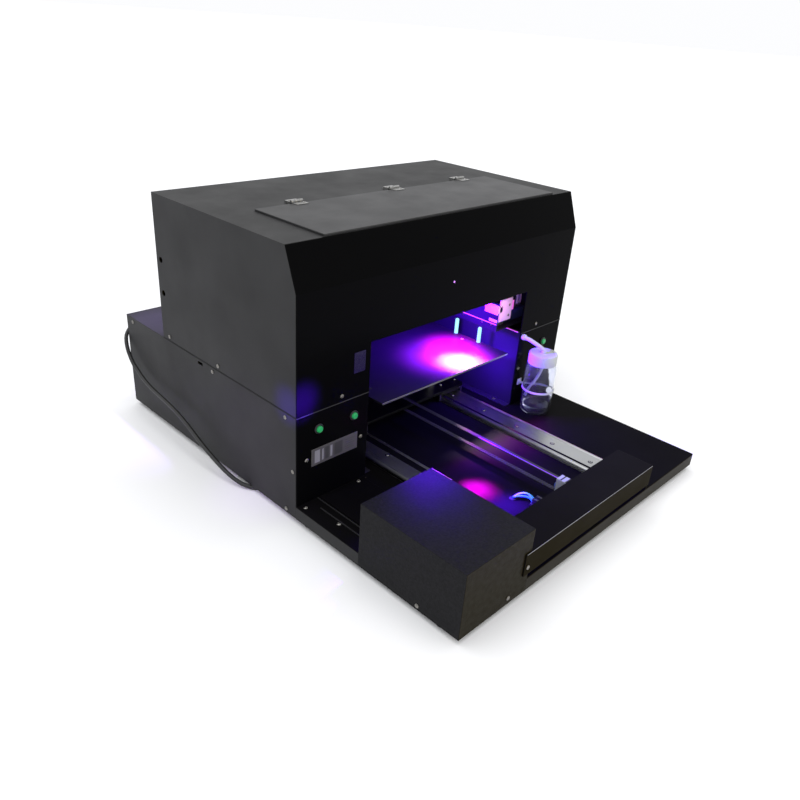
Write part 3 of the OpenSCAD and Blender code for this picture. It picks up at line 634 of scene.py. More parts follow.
def islands(node):
    """(lowest, highest) corner in millimetres of each separate solid of a CAD node."""
    bm = bmesh.new()
    bm.from_mesh(frame["nodes"][node].data)
    bmesh.ops.remove_doubles(bm, verts=bm.verts[:], dist=1e-6)
    left = set(bm.verts)
    found = []
    while left:
        todo, group = [left.pop()], []
        while todo:
            v = todo.pop()
            group.append(tuple(v.co))
            for edge in v.link_edges:
                other = edge.other_vert(v)
                if other in left:
                    left.remove(other)
                    todo.append(other)
        points = np.array(group) * 1000
        found.append((points.min(axis=0), points.max(axis=0)))
    bm.free()
    return sorted(found, key=lambda box: tuple(box[0].round(1)))


def phillips(b, seat, way, radius=3.2, height=2.0):
    """Domed screw head with a cross recess, standing on seat and facing way."""
    part = bmesh.new()
    steps = 9
    grid = []
    for i in range(steps + 1):
        r = radius * i / steps
        ring = []
        for a in angles(32) if i else [0]:
            x, y = r * math.cos(a), r * math.sin(a)
            z = height * (1 - 0.55 * (r / radius) ** 2.5)
            arm = min(abs(x), abs(y)) / (0.15 * radius) + max(abs(x), abs(y)) / (1.4 * radius)
            z -= 0.5 * height * ease(1.5 - arm, 0, 0.6)
            ring.append(part.verts.new((x * MM, y * MM, z * MM)))
        grid.append(ring)
    grid.append([part.verts.new((v.co.x, v.co.y, 0)) for v in grid[-1]])
    skin(part, grid)
    b.take(part, "screw_steel", Matrix.Translation(Vector(seat) * MM) @ turn_to(way))


def make_screws():
    """Cross-head screws in place of the plain ones; the thin side of each one's box is its axis."""
    b = Build("panel_screws_detail")
    for lo, hi in islands("panel_screws"):
        size, middle = hi - lo, (lo + hi) / 2
        axis = int(np.argmin(size))
        way = [0, 0, 0]
        way[axis] = 1 if middle[axis] > (0, REAR - 10, 0)[axis] else -1
        seat = middle.copy()
        seat[axis] = lo[axis] if way[axis] > 0 else hi[axis]
        phillips(b, seat, way)
    b.done("chassis", ["panel_screws"], 25)


def make_buttons():
    """Bezels with a knurled rim, switch bodies with terminals, and domed lit caps."""
    b = Build("button_bezels_detail")
    front = mm_box("front_panel")[0][1]
    for name in ("start_button", "stop_button", "feed_button"):
        x, _, z = centre(name)
        rim = [(5.35, 12), (5.35, -2.0), (5.9, -2.5), (7.2, -2.5), (7.9, -1.6), (7.9, 0), (6.4, 0), (6.4, 12),
               (5.35, 12)]
        b.lathe(rim, (x, front, z), "y", "dark_plastic", 60,
                lambda a, r, h: r - (0.18 if r > 7.5 and math.cos(30 * a) > 0 else 0))
        b.block((x - 7, front + 11, z - 7), (x + 7, front + 27, z + 7), "dark_plastic", 0.8)
        for lug in (x - 4, x + 4):
            b.block((lug - 1.2, front + 26, z - 0.4), (lug + 1.2, front + 33, z + 0.4), "psu_steel", 0.1)
        cap = Build(name + "_cap")
        cap.lathe([(0, 13), (4.9, 13), (4.95, 1.2), (4.6, 0.45), (3.8, 0.15), (3.3, 0.4), (2.0, 0.12), (0, 0)],
                  (x, mm_box(name)[0][1], z), "y", "button_green", 40)
        cap.done(name, [name])
    b.done("chassis", ["button_bezels"], 25)


def bottle_lobes(angle, r, h):
    """Five soft lobes at the bottle's foot, and the rise of the thread at its neck."""
    foot = 1 - ease(h, 4, 26)
    ridge = 0.35 * math.sin(angle) if 99 < h < 112 else 0
    return r * (1 - 0.05 * foot * (0.5 + 0.5 * math.cos(5 * angle))) + ridge


def make_bottle():
    """Clear bottle with a lobed foot and a threaded neck, with some ink in it."""
    at = (*centre("waste_bottle")[:2], mm_box("waste_bottle")[0][2])
    outer = [(0, 3.5), (9, 3.2), (15, 1.2), (21, 0), (26.4, 0.6), (28.4, 3), (28.9, 8), (28.9, 18), (28.9, 26),
             (28.2, 29), (28.9, 32), (28.9, 58), (28.2, 61), (28.9, 64), (28.9, 90), (28.3, 94), (26.6, 97),
             (24.2, 98.4), (23.4, 99), (24.0, 100.2), (23.4, 101.4), (23.4, 104), (24.0, 105.2), (23.4, 106.4),
             (23.4, 111.6)]
    inner = [(22.3, 111.6), (22.3, 98), (25.6, 95.6), (27.4, 92), (27.7, 26), (27.6, 10), (26, 5), (20, 2.2),
             (10, 4.6), (0, 4.8)]
    b = Build("waste_bottle_detail")
    b.lathe(outer + inner, at, "z", "clear_plastic", 80, bottle_lobes)
    b.done("chassis", ["waste_bottle"], 50)
    ink = Build("waste_ink")
    ink.lathe([(0, 5.2), (19, 2.8), (25, 5.6), (26.8, 10), (26.9, 16), (0, 16)], at, "z", "waste_fluid", 60,
              lambda a, r, h: bottle_lobes(a, r, h) - 0.5)
    ink.done("chassis")


def make_bottle_cap():
    """Ribbed screw cap with a stepped top."""
    low, high = mm_box("bottle_cap")
    at = (*centre("waste_bottle")[:2], low[2])
    height = high[2] - low[2]
    b = Build("bottle_cap_detail")
    b.lathe([(24.4, 0), (26.3, 0.4), (26.4, height - 3), (25.2, height - 0.6), (23, height), (20.4, height),
             (20, height - 0.9), (6.4, height - 0.9), (6, height - 0.2), (0, height - 0.2)], at, "z",
            "white_plastic", 180, lambda a, r, h: r + (0.32 * math.cos(60 * a) if r > 26 else 0))
    b.lathe([(24.4, 0), (24.4, height - 3), (0, height - 3)], at, "z", "white_plastic", 48)
    b.done("chassis", ["bottle_cap"], 40)


def make_waste_tube():
    """Drain tube from the front panel to the cap, the tube in the bottle, and the strap with its clamp."""
    x, y = centre("waste_bottle")[:2]
    z = mm_box("waste_bottle")[0][2]
    top, strap = z + 120, z + 47
    exit_x, exit_z = 204, 175
    b = Build("waste_tube_detail")
    b.lathe([(0, 0), (5.2, 0), (5.2, 2), (4, 2.6), (4.4, 4), (3.4, 6.8), (0, 6.8)], (x, y, top), "z",
            "white_plastic", 32)
    b.lathe([(2.8, -7), (5.4, -6.4), (5.4, -2), (4.4, -1.6), (4.4, 0), (2.8, 0)], (exit_x, FRONT, exit_z), "y",
            "white_plastic", 32)
    drain = [(x, y, top + 4), (x - 3, y + 6, top + 9), (x - 9, y + 17, top + 15.5),
             (x - 14, y + 27, top + 20.5), (exit_x, FRONT - 5, exit_z - 0.6), (exit_x, FRONT - 1, exit_z)]
    b.tube(smooth_path(drain), 3.7, "white_plastic", 20)
    dip = [(x, y, top - 6), (x + 2, y - 2, z + 92), (x - 4, y + 4, z + 68), (x - 12, y + 13, z + 44),
           (x - 15, y + 16, z + 30)]
    b.tube(smooth_path(dip), 2.6, "white_plastic", 16)
    band = [(29.3, -1.9), (30.6, -1.7), (30.9, 0), (30.6, 1.7), (29.3, 1.9), (29.3, -1.9)]
    b.lathe(band, (x, y, strap), "z", "white_plastic", 72)
    b.block((213.6, y + 30, strap - 1.8), (216.4, FRONT, strap + 1.8), "white_plastic", 0.4)
    b.block((209, FRONT - 1.4, strap - 6), (221, FRONT, strap + 6), "white_plastic", 0.5)
    b.done("chassis", ["waste_tube"], 45)


def belt_outline(y0, y1, z, r, half_t, pitch):
    """Pairs of outer and inner points round a belt's loop, toothed on the inside."""
    span = y1 - y0
    arc = math.pi * r
    total = 2 * (span + arc)
    count = round(total / pitch) * 4
    pairs = []
    for k in range(count):
        s = total * k / count
        if s < span:
            at, out = (y0 + s, z + r), (0, 1)
        elif s < span + arc:
            a = math.pi / 2 - (s - span) / r
            out = (math.cos(a), math.sin(a))
            at = (y1 + r * out[0], z + r * out[1])
        elif s < 2 * span + arc:
            at, out = (y1 - (s - span - arc), z - r), (0, -1)
        else:
            a = -math.pi / 2 - (s - 2 * span - arc) / r
            out = (math.cos(a), math.sin(a))
            at = (y0 + r * out[0], z + r * out[1])
        tooth = half_t if k % 4 < 2 else 0.1
        pairs.append([(at[0] + out[0] * d, at[1] + out[1] * d) for d in (half_t, -tooth)])
    return pairs


def make_belt(name, node, outline):
    """Toothed belt: its outline, swept across the thin side of its node's box."""
    b = Build(name)
    part = bmesh.new()
    lo, hi = mm_box(node)
    axis = 0 if hi[0] - lo[0] < hi[1] - lo[1] else 1
    near, far = lo[axis] + 0.05, hi[axis] - 0.05

    def vertex(point, side):
        at = (side, *point) if axis == 0 else (point[0], side, point[1])
        return part.verts.new(Vector(at) * MM)

    rows = [[vertex(out, near), vertex(out, far), vertex(inner, far), vertex(inner, near)]
            for out, inner in outline]
    skin(part, rows + rows[:1])
    b.take(part, "belt")
    b.done("chassis", [node], 25)


def make_pulley(name, node, axis, at, radius, width, teeth, bore, sides, shaft=None):
    """Toothed belt pulley with two flanges, and the stub of its shaft where a profile for it is given."""
    half = width / 2
    profile = [(bore, -half), (radius + 2.3, -half), (radius + 2.3, -half + 0.6), (radius, -half + 1.3),
               (radius - 0.1, -half + 1.4), (radius - 0.1, half - 1.4), (radius, half - 1.3),
               (radius + 2.3, half - 0.6), (radius + 2.3, half), (bore, half), (bore, -half)]

    def toothed(angle, r, h):
        gap = bore + 1 < r < radius and abs(h) < half and math.cos(teeth * angle) < 0
        return r - (0.7 if gap else 0)

    b = Build(name)
    b.lathe(profile, at, axis, "pulley_metal", teeth * 4, toothed)
    if shaft:
        b.lathe(shaft, at, axis, "ground_steel", sides)
    b.done(node, [node], 30)


def make_drives():
    """Both belts and their four pulleys."""
    table_r, table_z = 11, 59
    head_r, head_y, head_z = 8.9, 73, 262
    table_ends, head_ends = (-335, 368), (-290, 290)
    make_belt("drive_belt_toothed", "drive_belt", belt_outline(*table_ends, table_z, table_r, 0.7, 5))
    make_belt("head_belt_toothed", "head_belt", belt_outline(*head_ends, head_z, head_r, 0.55, 4))
    table = {"axis": "x", "radius": table_r - 0.8, "width": 11.8, "teeth": 24, "sides": 32}
    head = {"axis": "y", "radius": head_r - 0.7, "width": 9.4, "teeth": 20, "sides": 28}
    table_shaft = [(0, -8), (3.6, -8), (4, -7.6), (4, 19.6), (3.6, 20), (0, 20)]
    head_shaft = [(0, -4.5), (2.2, -4.5), (2.5, -4.2), (2.5, 21.6), (2.2, 22), (0, 22)]
    make_pulley("idler_pulley_detail", "idler_pulley", at=(0, table_ends[0], table_z), bore=3.1, **table)
    make_pulley("drive_pulley_detail", "drive_pulley", at=(0, table_ends[1], table_z), bore=3.9,
                shaft=table_shaft, **table)
    make_pulley("head_idler_detail", "head_idler_pulley", at=(head_ends[1], head_y, head_z), bore=2.6, **head)
    make_pulley("head_drive_detail", "head_drive_pulley", at=(head_ends[0], head_y, head_z), bore=2.4,
                shaft=head_shaft, **head)


def socket_screw(b, seat, radius):
    """Upright cap screw with a hexagon socket, standing on seat."""
    b.lathe([(radius, 0), (radius, 0.75 * radius), (radius * 0.9, 0.9 * radius), (radius * 0.55, 0.9 * radius)],
            seat, "z", "ground_steel", 24)
    b.lathe([(radius * 0.55, 0.9 * radius), (radius * 0.5, 0.3 * radius), (0, 0.3 * radius)], seat, "z",
            "ground_steel", 6)


def make_rail_parts():
    """Screws sunk along both rails, each in a dark disc of painted shade, the rods' end plugs, painted shade
    bands beside the rods, and a painted highlight line on the right rail's rod.
    """
    b = Build("rail_fasteners")
    lo, hi = mm_box("guide_rails")
    top = hi[2] - 1
    for x in (-RAIL_X, RAIL_X):
        for step in range(9):
            y = lo[1] + 24 + step * 78
            # Painted shade: a dark disc for the hollow round each sunk screw
            b.lathe([(4.4, 0.05), (3.4, 0.12), (3.2, 0.1), (0, 0.1)], (x, y, top), "z", "dark_plastic", 24)
            socket_screw(b, (x, y, top - 1.4), 2.6)
        for y, way in ((lo[1], -1), (hi[1], 1)):
            for rod in (x - 23, x + 23):
                b.lathe([(0, 0), (3.2, 0), (3.2, 0.9), (2.6, 1.2), (0, 1.2)], (rod, y, 37), (0, way, 0),
                        "ground_steel", 20)
    # Painted shade: thin dark bands where the grooves beside the rods lie in shade
    for x0, x1, z in ((-121, -107.6, top), (107.6, 113, top), (-155, -150.6, top - 7), (150.6, 155, top - 7)):
        b.block((x0, lo[1] + 1, z - 0.2), (x1, hi[1] - 1, z + 0.08), "painted_shade_black", 0.05, 1)
    # Painted highlight: a bright line along the right rail's outer rod
    b.tube([(152.4, lo[1] + 2, 39.9), (152.4, -50, 39.9)], 0.4, "painted_highlight_edge", 8)
    b.done("chassis", ())


def make_wipers():
    """Rubber wipers and screws on both ends of each bearing block, and cap screws in its top."""
    b = Build("bearing_wipers")
    for lo, hi in islands("bearing_blocks"):
        middle = (lo + hi) / 2
        for y, way in ((lo[1], -1), (hi[1], 1)):
            near, far = sorted((y, y + way * 1.6))
            for x in (middle[0] - 30.2, middle[0] + 30.2):
                b.block((x - 2.2, near, lo[2] + 0.6), (x + 2.2, far, hi[2] - 3), "rubber", 0.4)
            b.block((middle[0] - 32, near, hi[2] - 10), (middle[0] + 32, far, hi[2] - 2), "rubber", 0.5)
            for dx in (-24, 24):
                phillips(b, (middle[0] + dx, y + way * 1.6, hi[2] - 6), (0, way, 0), 2.2, 1.2)
        for dx in (-20, 20):
            for dy in (-20, 20):
                socket_screw(b, (middle[0] + dx, middle[1] + dy, 61), 2.8)
    b.done("stage", ())


def make_sensor():
    """Slotted optical switch with its board and three thin leads looped over the deck."""
    lo, hi = mm_box("limit_sensor")
    x, y, _ = centre("limit_sensor")
    z, back = lo[2], hi[1]
    b = Build("limit_sensor_detail")
    b.block(lo, (hi[0], back, z + 4), "dark_plastic", 0.8)
    for dx in (-6, 4):
        b.block((x + dx - 2, y - 6, z + 3.6), (x + dx + 2.2, y + 6, hi[2]), "dark_plastic", 0.7)
    phillips(b, (x + 8, y + 4, z + 4), "z", 1.8, 1)
    b.done("chassis", ["limit_sensor"])
    leads = Build("sensor_leads")
    for dx, rise, colour in ((-3, 0.62, "lead_blue"), (0, 0.9, "lead_white"), (3, 0.75, "lead_blue")):
        points = [(x + dx, back - 1, z + 3), (x + dx - 1, back + 4, z + 8),
                  (x + dx - 4, back + 11, z + 15 * rise), (x + dx - 9, back + 19, z + 13 * rise),
                  (x + dx - 14, back + 25, z + 6), (x - 15, back + 28, z)]
        leads.tube(smooth_path(points), 1.5, colour, 8)
    leads.lathe([(2.2, 0), (5.4, 0), (5.4, 0.9), (4.2, 1.8), (2.6, 1.8), (2.2, 1.2), (2.2, 0)],
                (x - 15, back + 28, z), "z", "rubber", 28)
    leads.done("chassis")


def make_lamp():
    """Window of the curing lamp with its rows of diodes."""
    lo, hi = mm_box("uv_lamp")
    under = lo[2]
    b = Build("lamp_window")
    b.block((lo[0] + 5, lo[1] + 8, under - 0.9), (hi[0] - 5, hi[1] - 8, under + 0.1), "lamp_glass", 0.3)
    for row in range(3):
        for col in range(9):
            x, y = lo[0] + 10.5 + row * 5.6, lo[1] + 12 + col * 7
            b.block((x - 1.5, y - 1.5, under - 1.5), (x + 1.5, y + 1.5, under - 0.8), "lamp_diode", 0.3, 1)
    b.done("head", ())


def make_carriage_parts():
    """Screws of the carriage with a painted highlight strip on its left edge, and the pale brackets at its
    front left corner, tinted pink with painted lamp light, with a painted highlight strip.
    """
    lo, hi = mm_box("head_carriage")
    b = Build("carriage_parts")
    for y in (-50, -28, 18, 32):
        for z in (200, 232):
            phillips(b, (lo[0], y, z), (-1, 0, 0), 2.6, 1.4)
            phillips(b, (hi[0], y, z), (1, 0, 0), 2.6, 1.4)
    for x in (158, 178, 230, 250):
        phillips(b, (x, hi[1], 206), (0, 1, 0), 2.2, 1.2)
        phillips(b, (x, 41, 252), (0, -1, 0), 2.2, 1.2)
    # Painted highlight: a bright strip along the carriage's left face
    b.block((lo[0] - 0.8, lo[1] + 1, 202.2), (lo[0], hi[1] - 2, 203.8), "painted_highlight_edge", 0.3)
    b.done("head", ())
    x, y = lo[:2]
    b = Build("lamp_bracket")
    b.block((x + 2, y - 1.6, 208), (x + 37, y, 250), "bracket_pink_painted_light", 0.5)
    b.block((x - 1.6, y, 222), (x, y + 30, 240), "bracket_pink_painted_light", 0.5)
    b.block((x - 1.6, y - 1.6, 226), (x + 10, y, 238), "bracket_pink_painted_light", 0.5)
    b.block((x - 1.6, y, 207), (x, y + 18, 212), "bracket_pink_painted_light", 0.5)
    # Painted highlight: a bright strip at the bracket's edge
    b.block((x + 37.5, y - 1, 225), (x + 43, y, 243), "painted_highlight_edge", 0.3)
    for z in (217, 237):
        phillips(b, (x + 29, y - 1.6, z), (0, -1, 0), 2.4, 1.3)
    b.done("head", ())


def make_head_board():
    """Head board with its ribbon socket, and the dampers' spigots and ink windows."""
    edge = mm_box("ink_dampers")[1][0]
    b = Build("head_board")
    b.block((edge + 0.5, -38, 214), (edge + 2.1, 16, 246), "board_green", 0.2, 1)
    b.block((edge - 1, -28, 238), (edge + 4, 6, 243), "white_plastic", 0.4)
    for ink, (lo, hi) in zip(INKS, islands("ink_dampers")):
        b.lathe([(0, 0), (2.2, 0), (2.2, 3), (1.5, 3.6), (1.9, 5), (1.2, 8), (0, 8)],
                ((lo[0] + hi[0]) / 2, -28, hi[2]), "z", "white_plastic", 20)
        b.block((lo[0] + 0.8, lo[1] - 0.6, lo[2] + 6), (hi[0] - 0.8, lo[1] + 0.2, hi[2] - 6), ink, 0.3, 1)
    b.done("head", ())


def make_ink_tanks():
    """Tanks with ink showing at their front, level marks, ribbed filler caps and spigots."""
    b = Build("ink_tanks_detail")
    tanks = [(lo, hi) for lo, hi in islands("ink_tanks") if hi[0] - lo[0] > 40]
    for i, (ink, (lo, hi)) in enumerate(zip(INKS, tanks)):
        x, y, _ = (lo + hi) / 2
        top, level = lo[2] + 84, lo[2] + 50 + 4 * (i % 3)
        b.block(lo, (hi[0], hi[1], top), "damper_white", 4, 3)
        b.block((lo[0] + 3, lo[1] - 0.5, lo[2] + 5), (hi[0] - 3, lo[1] + 0.4, level), ink, 0.8)
        for mark in range(5):
            z = lo[2] + 16 + mark * 13
            b.block((hi[0] - 13, lo[1] - 0.9, z), (hi[0] - 6, lo[1] - 0.3, z + 1), "dark_plastic", 0.2, 1)
        b.lathe([(0, 0), (13.6, 0), (13.6, 9.6), (12.6, 11), (9, 11), (8.4, 10.2), (0, 10.2)], (x, y, top), "z",
                "dark_plastic", 96, lambda a, r, h: r + (0.4 * math.cos(24 * a) if r > 13 else 0))
        b.lathe([(0, 0), (3, 0), (3, 3), (2, 3.6), (2.5, 5), (1.6, 8), (0, 8)], (x + 22, y + 26, top), "z",
                "white_plastic", 20)
    b.done("chassis", ["ink_tanks"])


def fan_blade(blade):
    """One twisted, cambered blade of the fan wheel, as rings of points from its root to its tip."""
    part = bmesh.new()
    steps, rows = 8, []
    for i in range(steps + 1):
        out = i / steps
        r = 12.5 + 22 * out
        twist = math.radians(52 - 20 * out)
        sweep = 2 * math.pi * blade / FAN_BLADES + 0.16 * out
        chord = 17 + 2 * math.sin(math.pi * out)
        row = []
        for j, side in [(j, 1) for j in range(7)] + [(j, -1) for j in range(6, -1, -1)]:
            u = (j / 6 - 0.5) * chord
            camber = 1.8 * (1 - (2 * j / 6 - 1) ** 2) + side * 0.55
            across = u * math.cos(twist) - camber * math.sin(twist)
            depth = u * math.sin(twist) + camber * math.cos(twist)
            a = sweep + across / r
            point = (FAN_X + r * math.cos(a), REAR - 14 + depth * 0.9, FAN_Z + r * math.sin(a))
            row.append(part.verts.new(Vector(point) * MM))
        rows.append(row)
    skin(part, rows, capped=True)
    return part


def make_fan():
    """Fan wheel with twisted blades, and a wire guard behind the rear panel."""
    b = Build("fan_rotor_detail")
    b.lathe([(0, 0), (11, 0), (13, 1.4), (13, 17), (12.2, 18), (0, 18)], (FAN_X, REAR - 23, FAN_Z), "y",
            "dark_plastic", 40)
    for blade in range(FAN_BLADES):
        b.take(fan_blade(blade), "dark_plastic")
    b.done("fan", ["fan_rotor"], 30)
    g = Build("fan_guard")
    for radius in (12, 19, 26, 33, 38):
        circle = [(FAN_X + radius * math.cos(a), REAR + 2.4, FAN_Z + radius * math.sin(a))
                  for a in angles(48) + [2 * math.pi]]
        g.tube(circle, 0.8, "ground_steel", 8)
    for quarter in range(4):
        a = math.radians(45 + 90 * quarter)
        c, s = math.cos(a), math.sin(a)
        g.tube([(FAN_X + r * c, REAR + 3.4, FAN_Z + r * s) for r in (8, 24, 44)], 0.9, "ground_steel", 8)
        phillips(g, (FAN_X + 46 * c, REAR, FAN_Z + 46 * s), (0, 1, 0))
    g.done("chassis", ())


def make_label():
    """Generic rating plate: a grey foil with blank printed cells."""
    lo, hi = mm_box("rating_plate")
    b = Build("rating_plate_detail")
    b.block(lo, hi, "label_grey", 0.2, 1)
    y0, y1 = lo[1] - 0.06, lo[1] + 0.1
    for x0, x1, z0, z1, tone in ((6, 16, 4, 25, "label_light"), (20, 23, 5, 24, "label_light"),
                                 (26, 33, 4, 25, "label_dark"), (36, 40, 5, 24, "label_light"),
                                 (44, 60, 4, 25, "label_dark")):
        b.block((lo[0] + x0, y0, lo[2] + z0), (lo[0] + x1, y1, lo[2] + z1), tone, 0.05, 1)
    for row in range(5):
        z = lo[2] + 6 + row * 4
        b.block((lo[0] + 65, y0, z), (lo[0] + 84 - 3 * (row % 2), y1, z + 0.8), "label_dark", 0.05, 1)
    b.done("chassis", ["rating_plate"])


def make_feet():
    """Rubber feet with a hollow below and the head of a screw in it."""
    b = Build("feet_detail")
    for lo, hi in islands("feet"):
        x, y, _ = (lo + hi) / 2
        h = hi[2]
        b.lathe([(4, 4), (4, 0.6), (5, 0), (13, 0), (14, 1), (13.2, h - 1.6), (12.4, h), (0, h)], (x, y, 0),
                "z", "rubber", 40)
        b.lathe([(0, 3), (2.6, 3), (2.6, 4.6), (0, 4.6)], (x, y, 0), "z", "ground_steel", 20)
    b.done("chassis", ["feet"])


def make_table_parts():
    """The two pegs with a painted glow, a light metal strip on the table's front edge as a painted highlight,
    and two flat screws in its top.
    """
    b = Build("table_pegs_detail")
    for lo, hi in islands("table_pegs"):
        x, y, _ = (lo + hi) / 2
        h = hi[2] - lo[2]
        b.lathe([(0, 0), (3.45, 0), (3.45, h - 3), (3.2, h - 1.6), (2.4, h - 0.5), (1.2, h), (0, h)],
                (x, y, lo[2]), "z", "clear_peg", 28)
    b.done("table", ["table_pegs"])
    b = Build("table_painted_highlight")
    lo, hi = mm_box("print_table")
    top = hi[2]
    x0, x1, y = lo[0] + 0.8, hi[0] - 0.8, lo[1]
    # Painted highlight: a light metal strip on the table's front edge
    b.block((x0, y - 0.2, top - 3.4), (x1, y + 0.2, top - 0.3), "painted_highlight_metal", 0.15, 1)
    b.lathe([(2.7, 0), (2.5, 0.4), (0, 0.45)], (141, 7, top), "z", "white_plastic", 24)
    b.lathe([(2.2, 0), (2.0, 0.3), (0, 0.3)], (105, -57, top), "z", "rubber", 24)
    b.done("table", ())


def make_bed_parts():
    """Painted highlight strips on the edges of the box, lip, belt and tunnel fold, folds in the left bay, and
    the idler's bands.
    """
    b = Build("bed_edges")
    lo, hi = mm_box("corner_box")
    # Painted highlight on the box's top right edge
    b.tube([(hi[0] - 0.2, hi[1] - back, hi[2] - 0.2) for back in (2, 40)], 0.4, "painted_highlight_edge", 8)
    lo, hi = mm_box("front_lip")
    # Painted highlight on the lip's top front edge
    b.tube([(x, lo[1] + 0.2, hi[2] - 0.2) for x in (lo[0] + 2, hi[0] - 2)], 0.4, "painted_highlight_metal", 8)
    for x0, x1, y0, y1 in ((-287.2, -286, -187, -87), (-300.4, -299.2, -199, -110), (-255, -192, -94, -92.8)):
        b.block((x0, y0, 32), (x1, y1, 34), "black_sheet", 0.2, 1)
    # Painted highlight on the belt
    lo, hi = mm_box("drive_belt")
    b.block((-3.2, lo[1] + 14, hi[2] - 0.1), (-1.2, -165, hi[2] + 0.06), "painted_highlight_belt", 0.03, 1)
    b.done("chassis", ())
    b = Build("clip_bands")
    lo, hi = mm_box("idler_bracket")
    for y in (lo[1] + 6, lo[1] + 15):
        b.block((-7.6, y, hi[2] - 0.1), (7.6, y + 2.4, hi[2] + 0.15), "rubber", 0.1, 1)
    b.done("chassis", ())
    # Painted highlight along the tunnel's fold
    b = Build("tunnel_fold_highlight")
    b.tube([(190, -83, 186.4), (190, 249, 186.4)], 0.9, "painted_highlight_edge", 8)
    b.done("chassis", ())


def make_lid_parts():
    """Screws in both leaves of each hinge, and the rubber buffers under the lid's corners."""
    for name, body, y, height in (("hinge_screws", "chassis", 114, 0.8), ("lid_screws", "lid", 94, 0.7)):
        b = Build(name)
        for lo, hi in islands("hinge_bases"):
            for dx in (-7, 7):
                phillips(b, ((lo[0] + hi[0]) / 2 + dx, y, HINGE_TOP), "z", 1.9, height)
        if body == "lid":
            lo, hi = mm_box("lid_panel")
            for x in (lo[0] + 9, hi[0] - 9):
                for y in (lo[1] + 9, hi[1] - 14):
                    b.lathe([(0, -1.4), (4, -1.4), (4.4, -0.4), (4.4, 0.1), (0, 0.1)], (x, y, LID_TOP), "z",
                            "rubber", 24)
        b.done(body, ())


def make_seam():
    """Painted shade in the seam between the cover and the lower housing: dark strips along both sides and
    across the front.
    """
    b = Build("seam_painted_shade")
    for side in (-1, 1):
        near, far = sorted((side * HALF_WIDTH, side * (HALF_WIDTH + 0.35)))
        b.block((near, FRONT - 0.3, 180.6), (far, 278, 183.2), "seam_shade_black", 0.1, 1)
    for x0, x1 in ((-HALF_WIDTH, -187), (197, HALF_WIDTH)):
        b.block((x0, FRONT - 0.35, 181.2), (x1, FRONT, 182.8), "rubber", 0.1, 1)
    b.done("chassis")


def make_status_light():
    """Small violet indicator in its collar on the fascia."""
    at, way = (-12, FRONT, 323), (0, -1, 0)
    b = Build("status_light")
    b.lathe([(2.7, 0), (2.7, 0.5), (2.1, 0.9), (1.6, 0.7)], at, way, "dark_plastic", 28)
    b.lathe([(1.6, 0.5), (1.3, 1.1), (0.7, 1.4), (0, 1.5)], at, way, "status_glow", 24)
    b.done("chassis")


def make_electronics():
    """Chips, blocks and capacitors on both circuit boards, and the power supply's terminals."""
    b = Build("electronics")
    rng = random.Random(7)
    board = 40
    for x0, x1, y0, y1 in ((214, 294, 114, 286), (-306, -209, -386, -244)):
        for _ in range(16):
            x, y = rng.uniform(x0 + 6, x1 - 16), rng.uniform(y0 + 6, y1 - 18)
            w, d, t = rng.uniform(6, 14), rng.uniform(6, 16), rng.uniform(2, 9)
            b.block((x, y, board - 0.1), (x + w, y + d, board + t),
                    rng.choice(["dark_plastic", "white_plastic", "psu_steel"]), 0.4, 1)
        for k in range(5):
            b.lathe([(0, 0), (4, 0), (4, 10.5), (3.6, 11), (0, 11)], (x0 + 10 + 15 * k, y1 - 8, board), "z",
                    "psu_steel", 24)
    lo = mm_box("power_supply")[0]
    for k in range(7):
        x = lo[0] + 8 + 12 * k
        b.block((x, lo[1] - 4, lo[2] + 4), (x + 9, lo[1] + 0.1, lo[2] + 16), "dark_plastic", 0.5)
    b.done("chassis", ())


# -------------------- CAD nodes and the lamp's light


# Nodes by the width in millimetres of their rounded edges
SOFT_EDGES = {
    0.2: ("view_window", "hinge_bases", "lid_hinges"),
    0.3: ("uv_lamp", "idler_bracket"),
    0.35: ("print_table",),
    0.4: ("back_panel", "tunnel_walls", "head_carriage", "mechanism_frame"),
    0.5: ("fascia", "front_panel", "corner_box", "tray_deck", "base_pan", "table_frame", "slide_plate",
          "bearing_blocks", "belt_clamp", "fan_frame"),
    0.6: ("front_lip", "lid_panel", "print_head", "ink_dampers"),
    0.7: ("print_cover", "lower_housing"),
    0.8: ("lift_motor", "capping_station", "power_supply"),
    0.9: ("table_motor", "head_motor"),
}


def soften(node, width):
    """Rounds a node's edges by modifiers, without touching its own mesh."""
    obj = frame["nodes"][node]
    weld = obj.modifiers.new("weld", "WELD")
    weld.merge_threshold = 0.00001
    bevel = obj.modifiers.new("edges", "BEVEL")
    bevel.width = width * MM
    bevel.segments = 2
    bevel.limit_method = "ANGLE"
    bevel.angle_limit = math.radians(40)
    bevel.harden_normals = False


def dress_frame():
    """Gives every CAD node the material of its slot, and softens the edges of the sheet parts."""
    for part in frame["record"]["subparts"]:
        node = frame["nodes"][part["node"]]
        node.data.materials.clear()
        node.data.materials.append(MATERIALS[OWN_LOOK.get(part["node"], part["material_slot"])])
    for width, nodes in SOFT_EDGES.items():
        for node in nodes:
            soften(node, width)


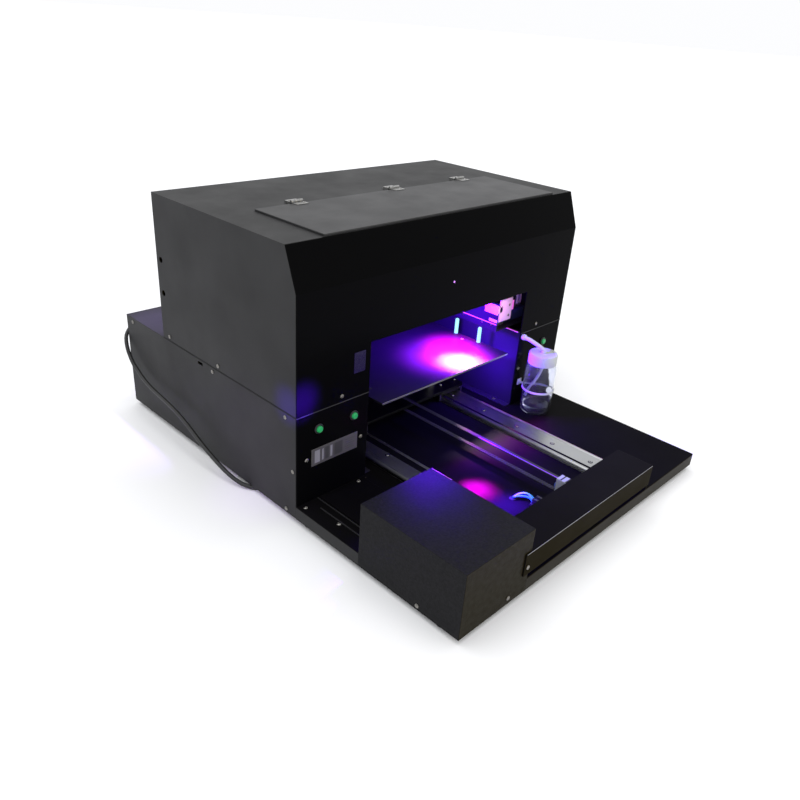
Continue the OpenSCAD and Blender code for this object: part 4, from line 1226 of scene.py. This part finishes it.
def glow(name, at, power, color=VIOLET, aim=None, cone=0, body="chassis"):
    """Light in millimetres that the camera doesn't see; with aim it is a cone that fades to its edge."""
    data = bpy.data.lights.new(name, "SPOT" if aim else "POINT")
    data.shadow_soft_size = 0.01
    data.energy = power
    data.color = color
    light = add(name, data)
    light.location = Vector(at) * MM
    if aim:
        data.spot_size = math.radians(cone)
        data.spot_blend = 1.0
        turn_towards(light, Vector(aim) * MM)
    light.visible_camera = False
    light.visible_glossy = False
    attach(light, body)


def make_glow():
    """The curing lamp's light on the table, and its spill on the walls, deck, box and panels."""
    magenta = (1.0, 0.0, 1.0)
    pool = (58, -62, 154)
    glow("pool_core", (60, -56, 235), 58, (1.0, 0.70, 1.0), pool, 66, "head")
    glow("pool_magenta", (64, -44, 235), 64, magenta, (66, -46, 154), 88, "head")
    glow("pool_far", (92, -8, 235), 46, (0.85, 0.0, 1.0), (98, -4, 154), 80, "head")
    glow("pool_purple", (60, -36, 235), 88, (0.30, 0.01, 1.0), (58, -36, 154), 110, "head")
    glow("pool_violet", (66, -20, 225), 14, body="head")
    glow("wall_spill", (140, -40, 110), 2.2, body="head")
    glow("on_bracket", (135, -105, 250), 0.15, (1.0, 0.40, 0.92), (168, -60, 226), 80, "head")
    glow("deck_patch", (-78, -222, 80), 34, magenta, (-78, -230, 32), 74)
    glow("deck_streak", (-76, -276, 85), 13, VIOLET, (-77, -290, 32), 94)
    glow("deck_spill", (-5, -190, 85), 1.5)
    glow("rail_spill", (150, -205, 90), 0.35, (0.5, 0.04, 1.0), (130, -200, 37), 110)
    glow("box_spill", (-170, -200, 190), 13, VIOLET, (-215, -250, 114), 70, "head")
    glow("fascia_spill", (-314, -200, 206), 30, VIOLET, (-316, -85, 206), 34)
    glow("side_spill", (-470, -100, 200), 4.5, VIOLET, (-325, -66, 196), 28)
    glow("rear_spill", (-270, 370, 360), 5.0, (0.42, 0.26, 1.0), (-290, 345, 183), 56)
    glow("side_wash", (-750, -20, 260), 3.5, (0.55, 0.30, 1.0), (-325, 20, 90), 34)


make_camera()
make_lead()
make_stage()
dress_frame()
make_glow()
make_screws()
make_buttons()
make_bottle()
make_bottle_cap()
make_waste_tube()
make_drives()
make_rail_parts()
make_wipers()
make_sensor()
make_lamp()
make_carriage_parts()
make_head_board()
make_ink_tanks()
make_fan()
make_label()
make_feet()
make_table_parts()
make_bed_parts()
make_lid_parts()
make_seam()
make_status_light()
make_electronics()
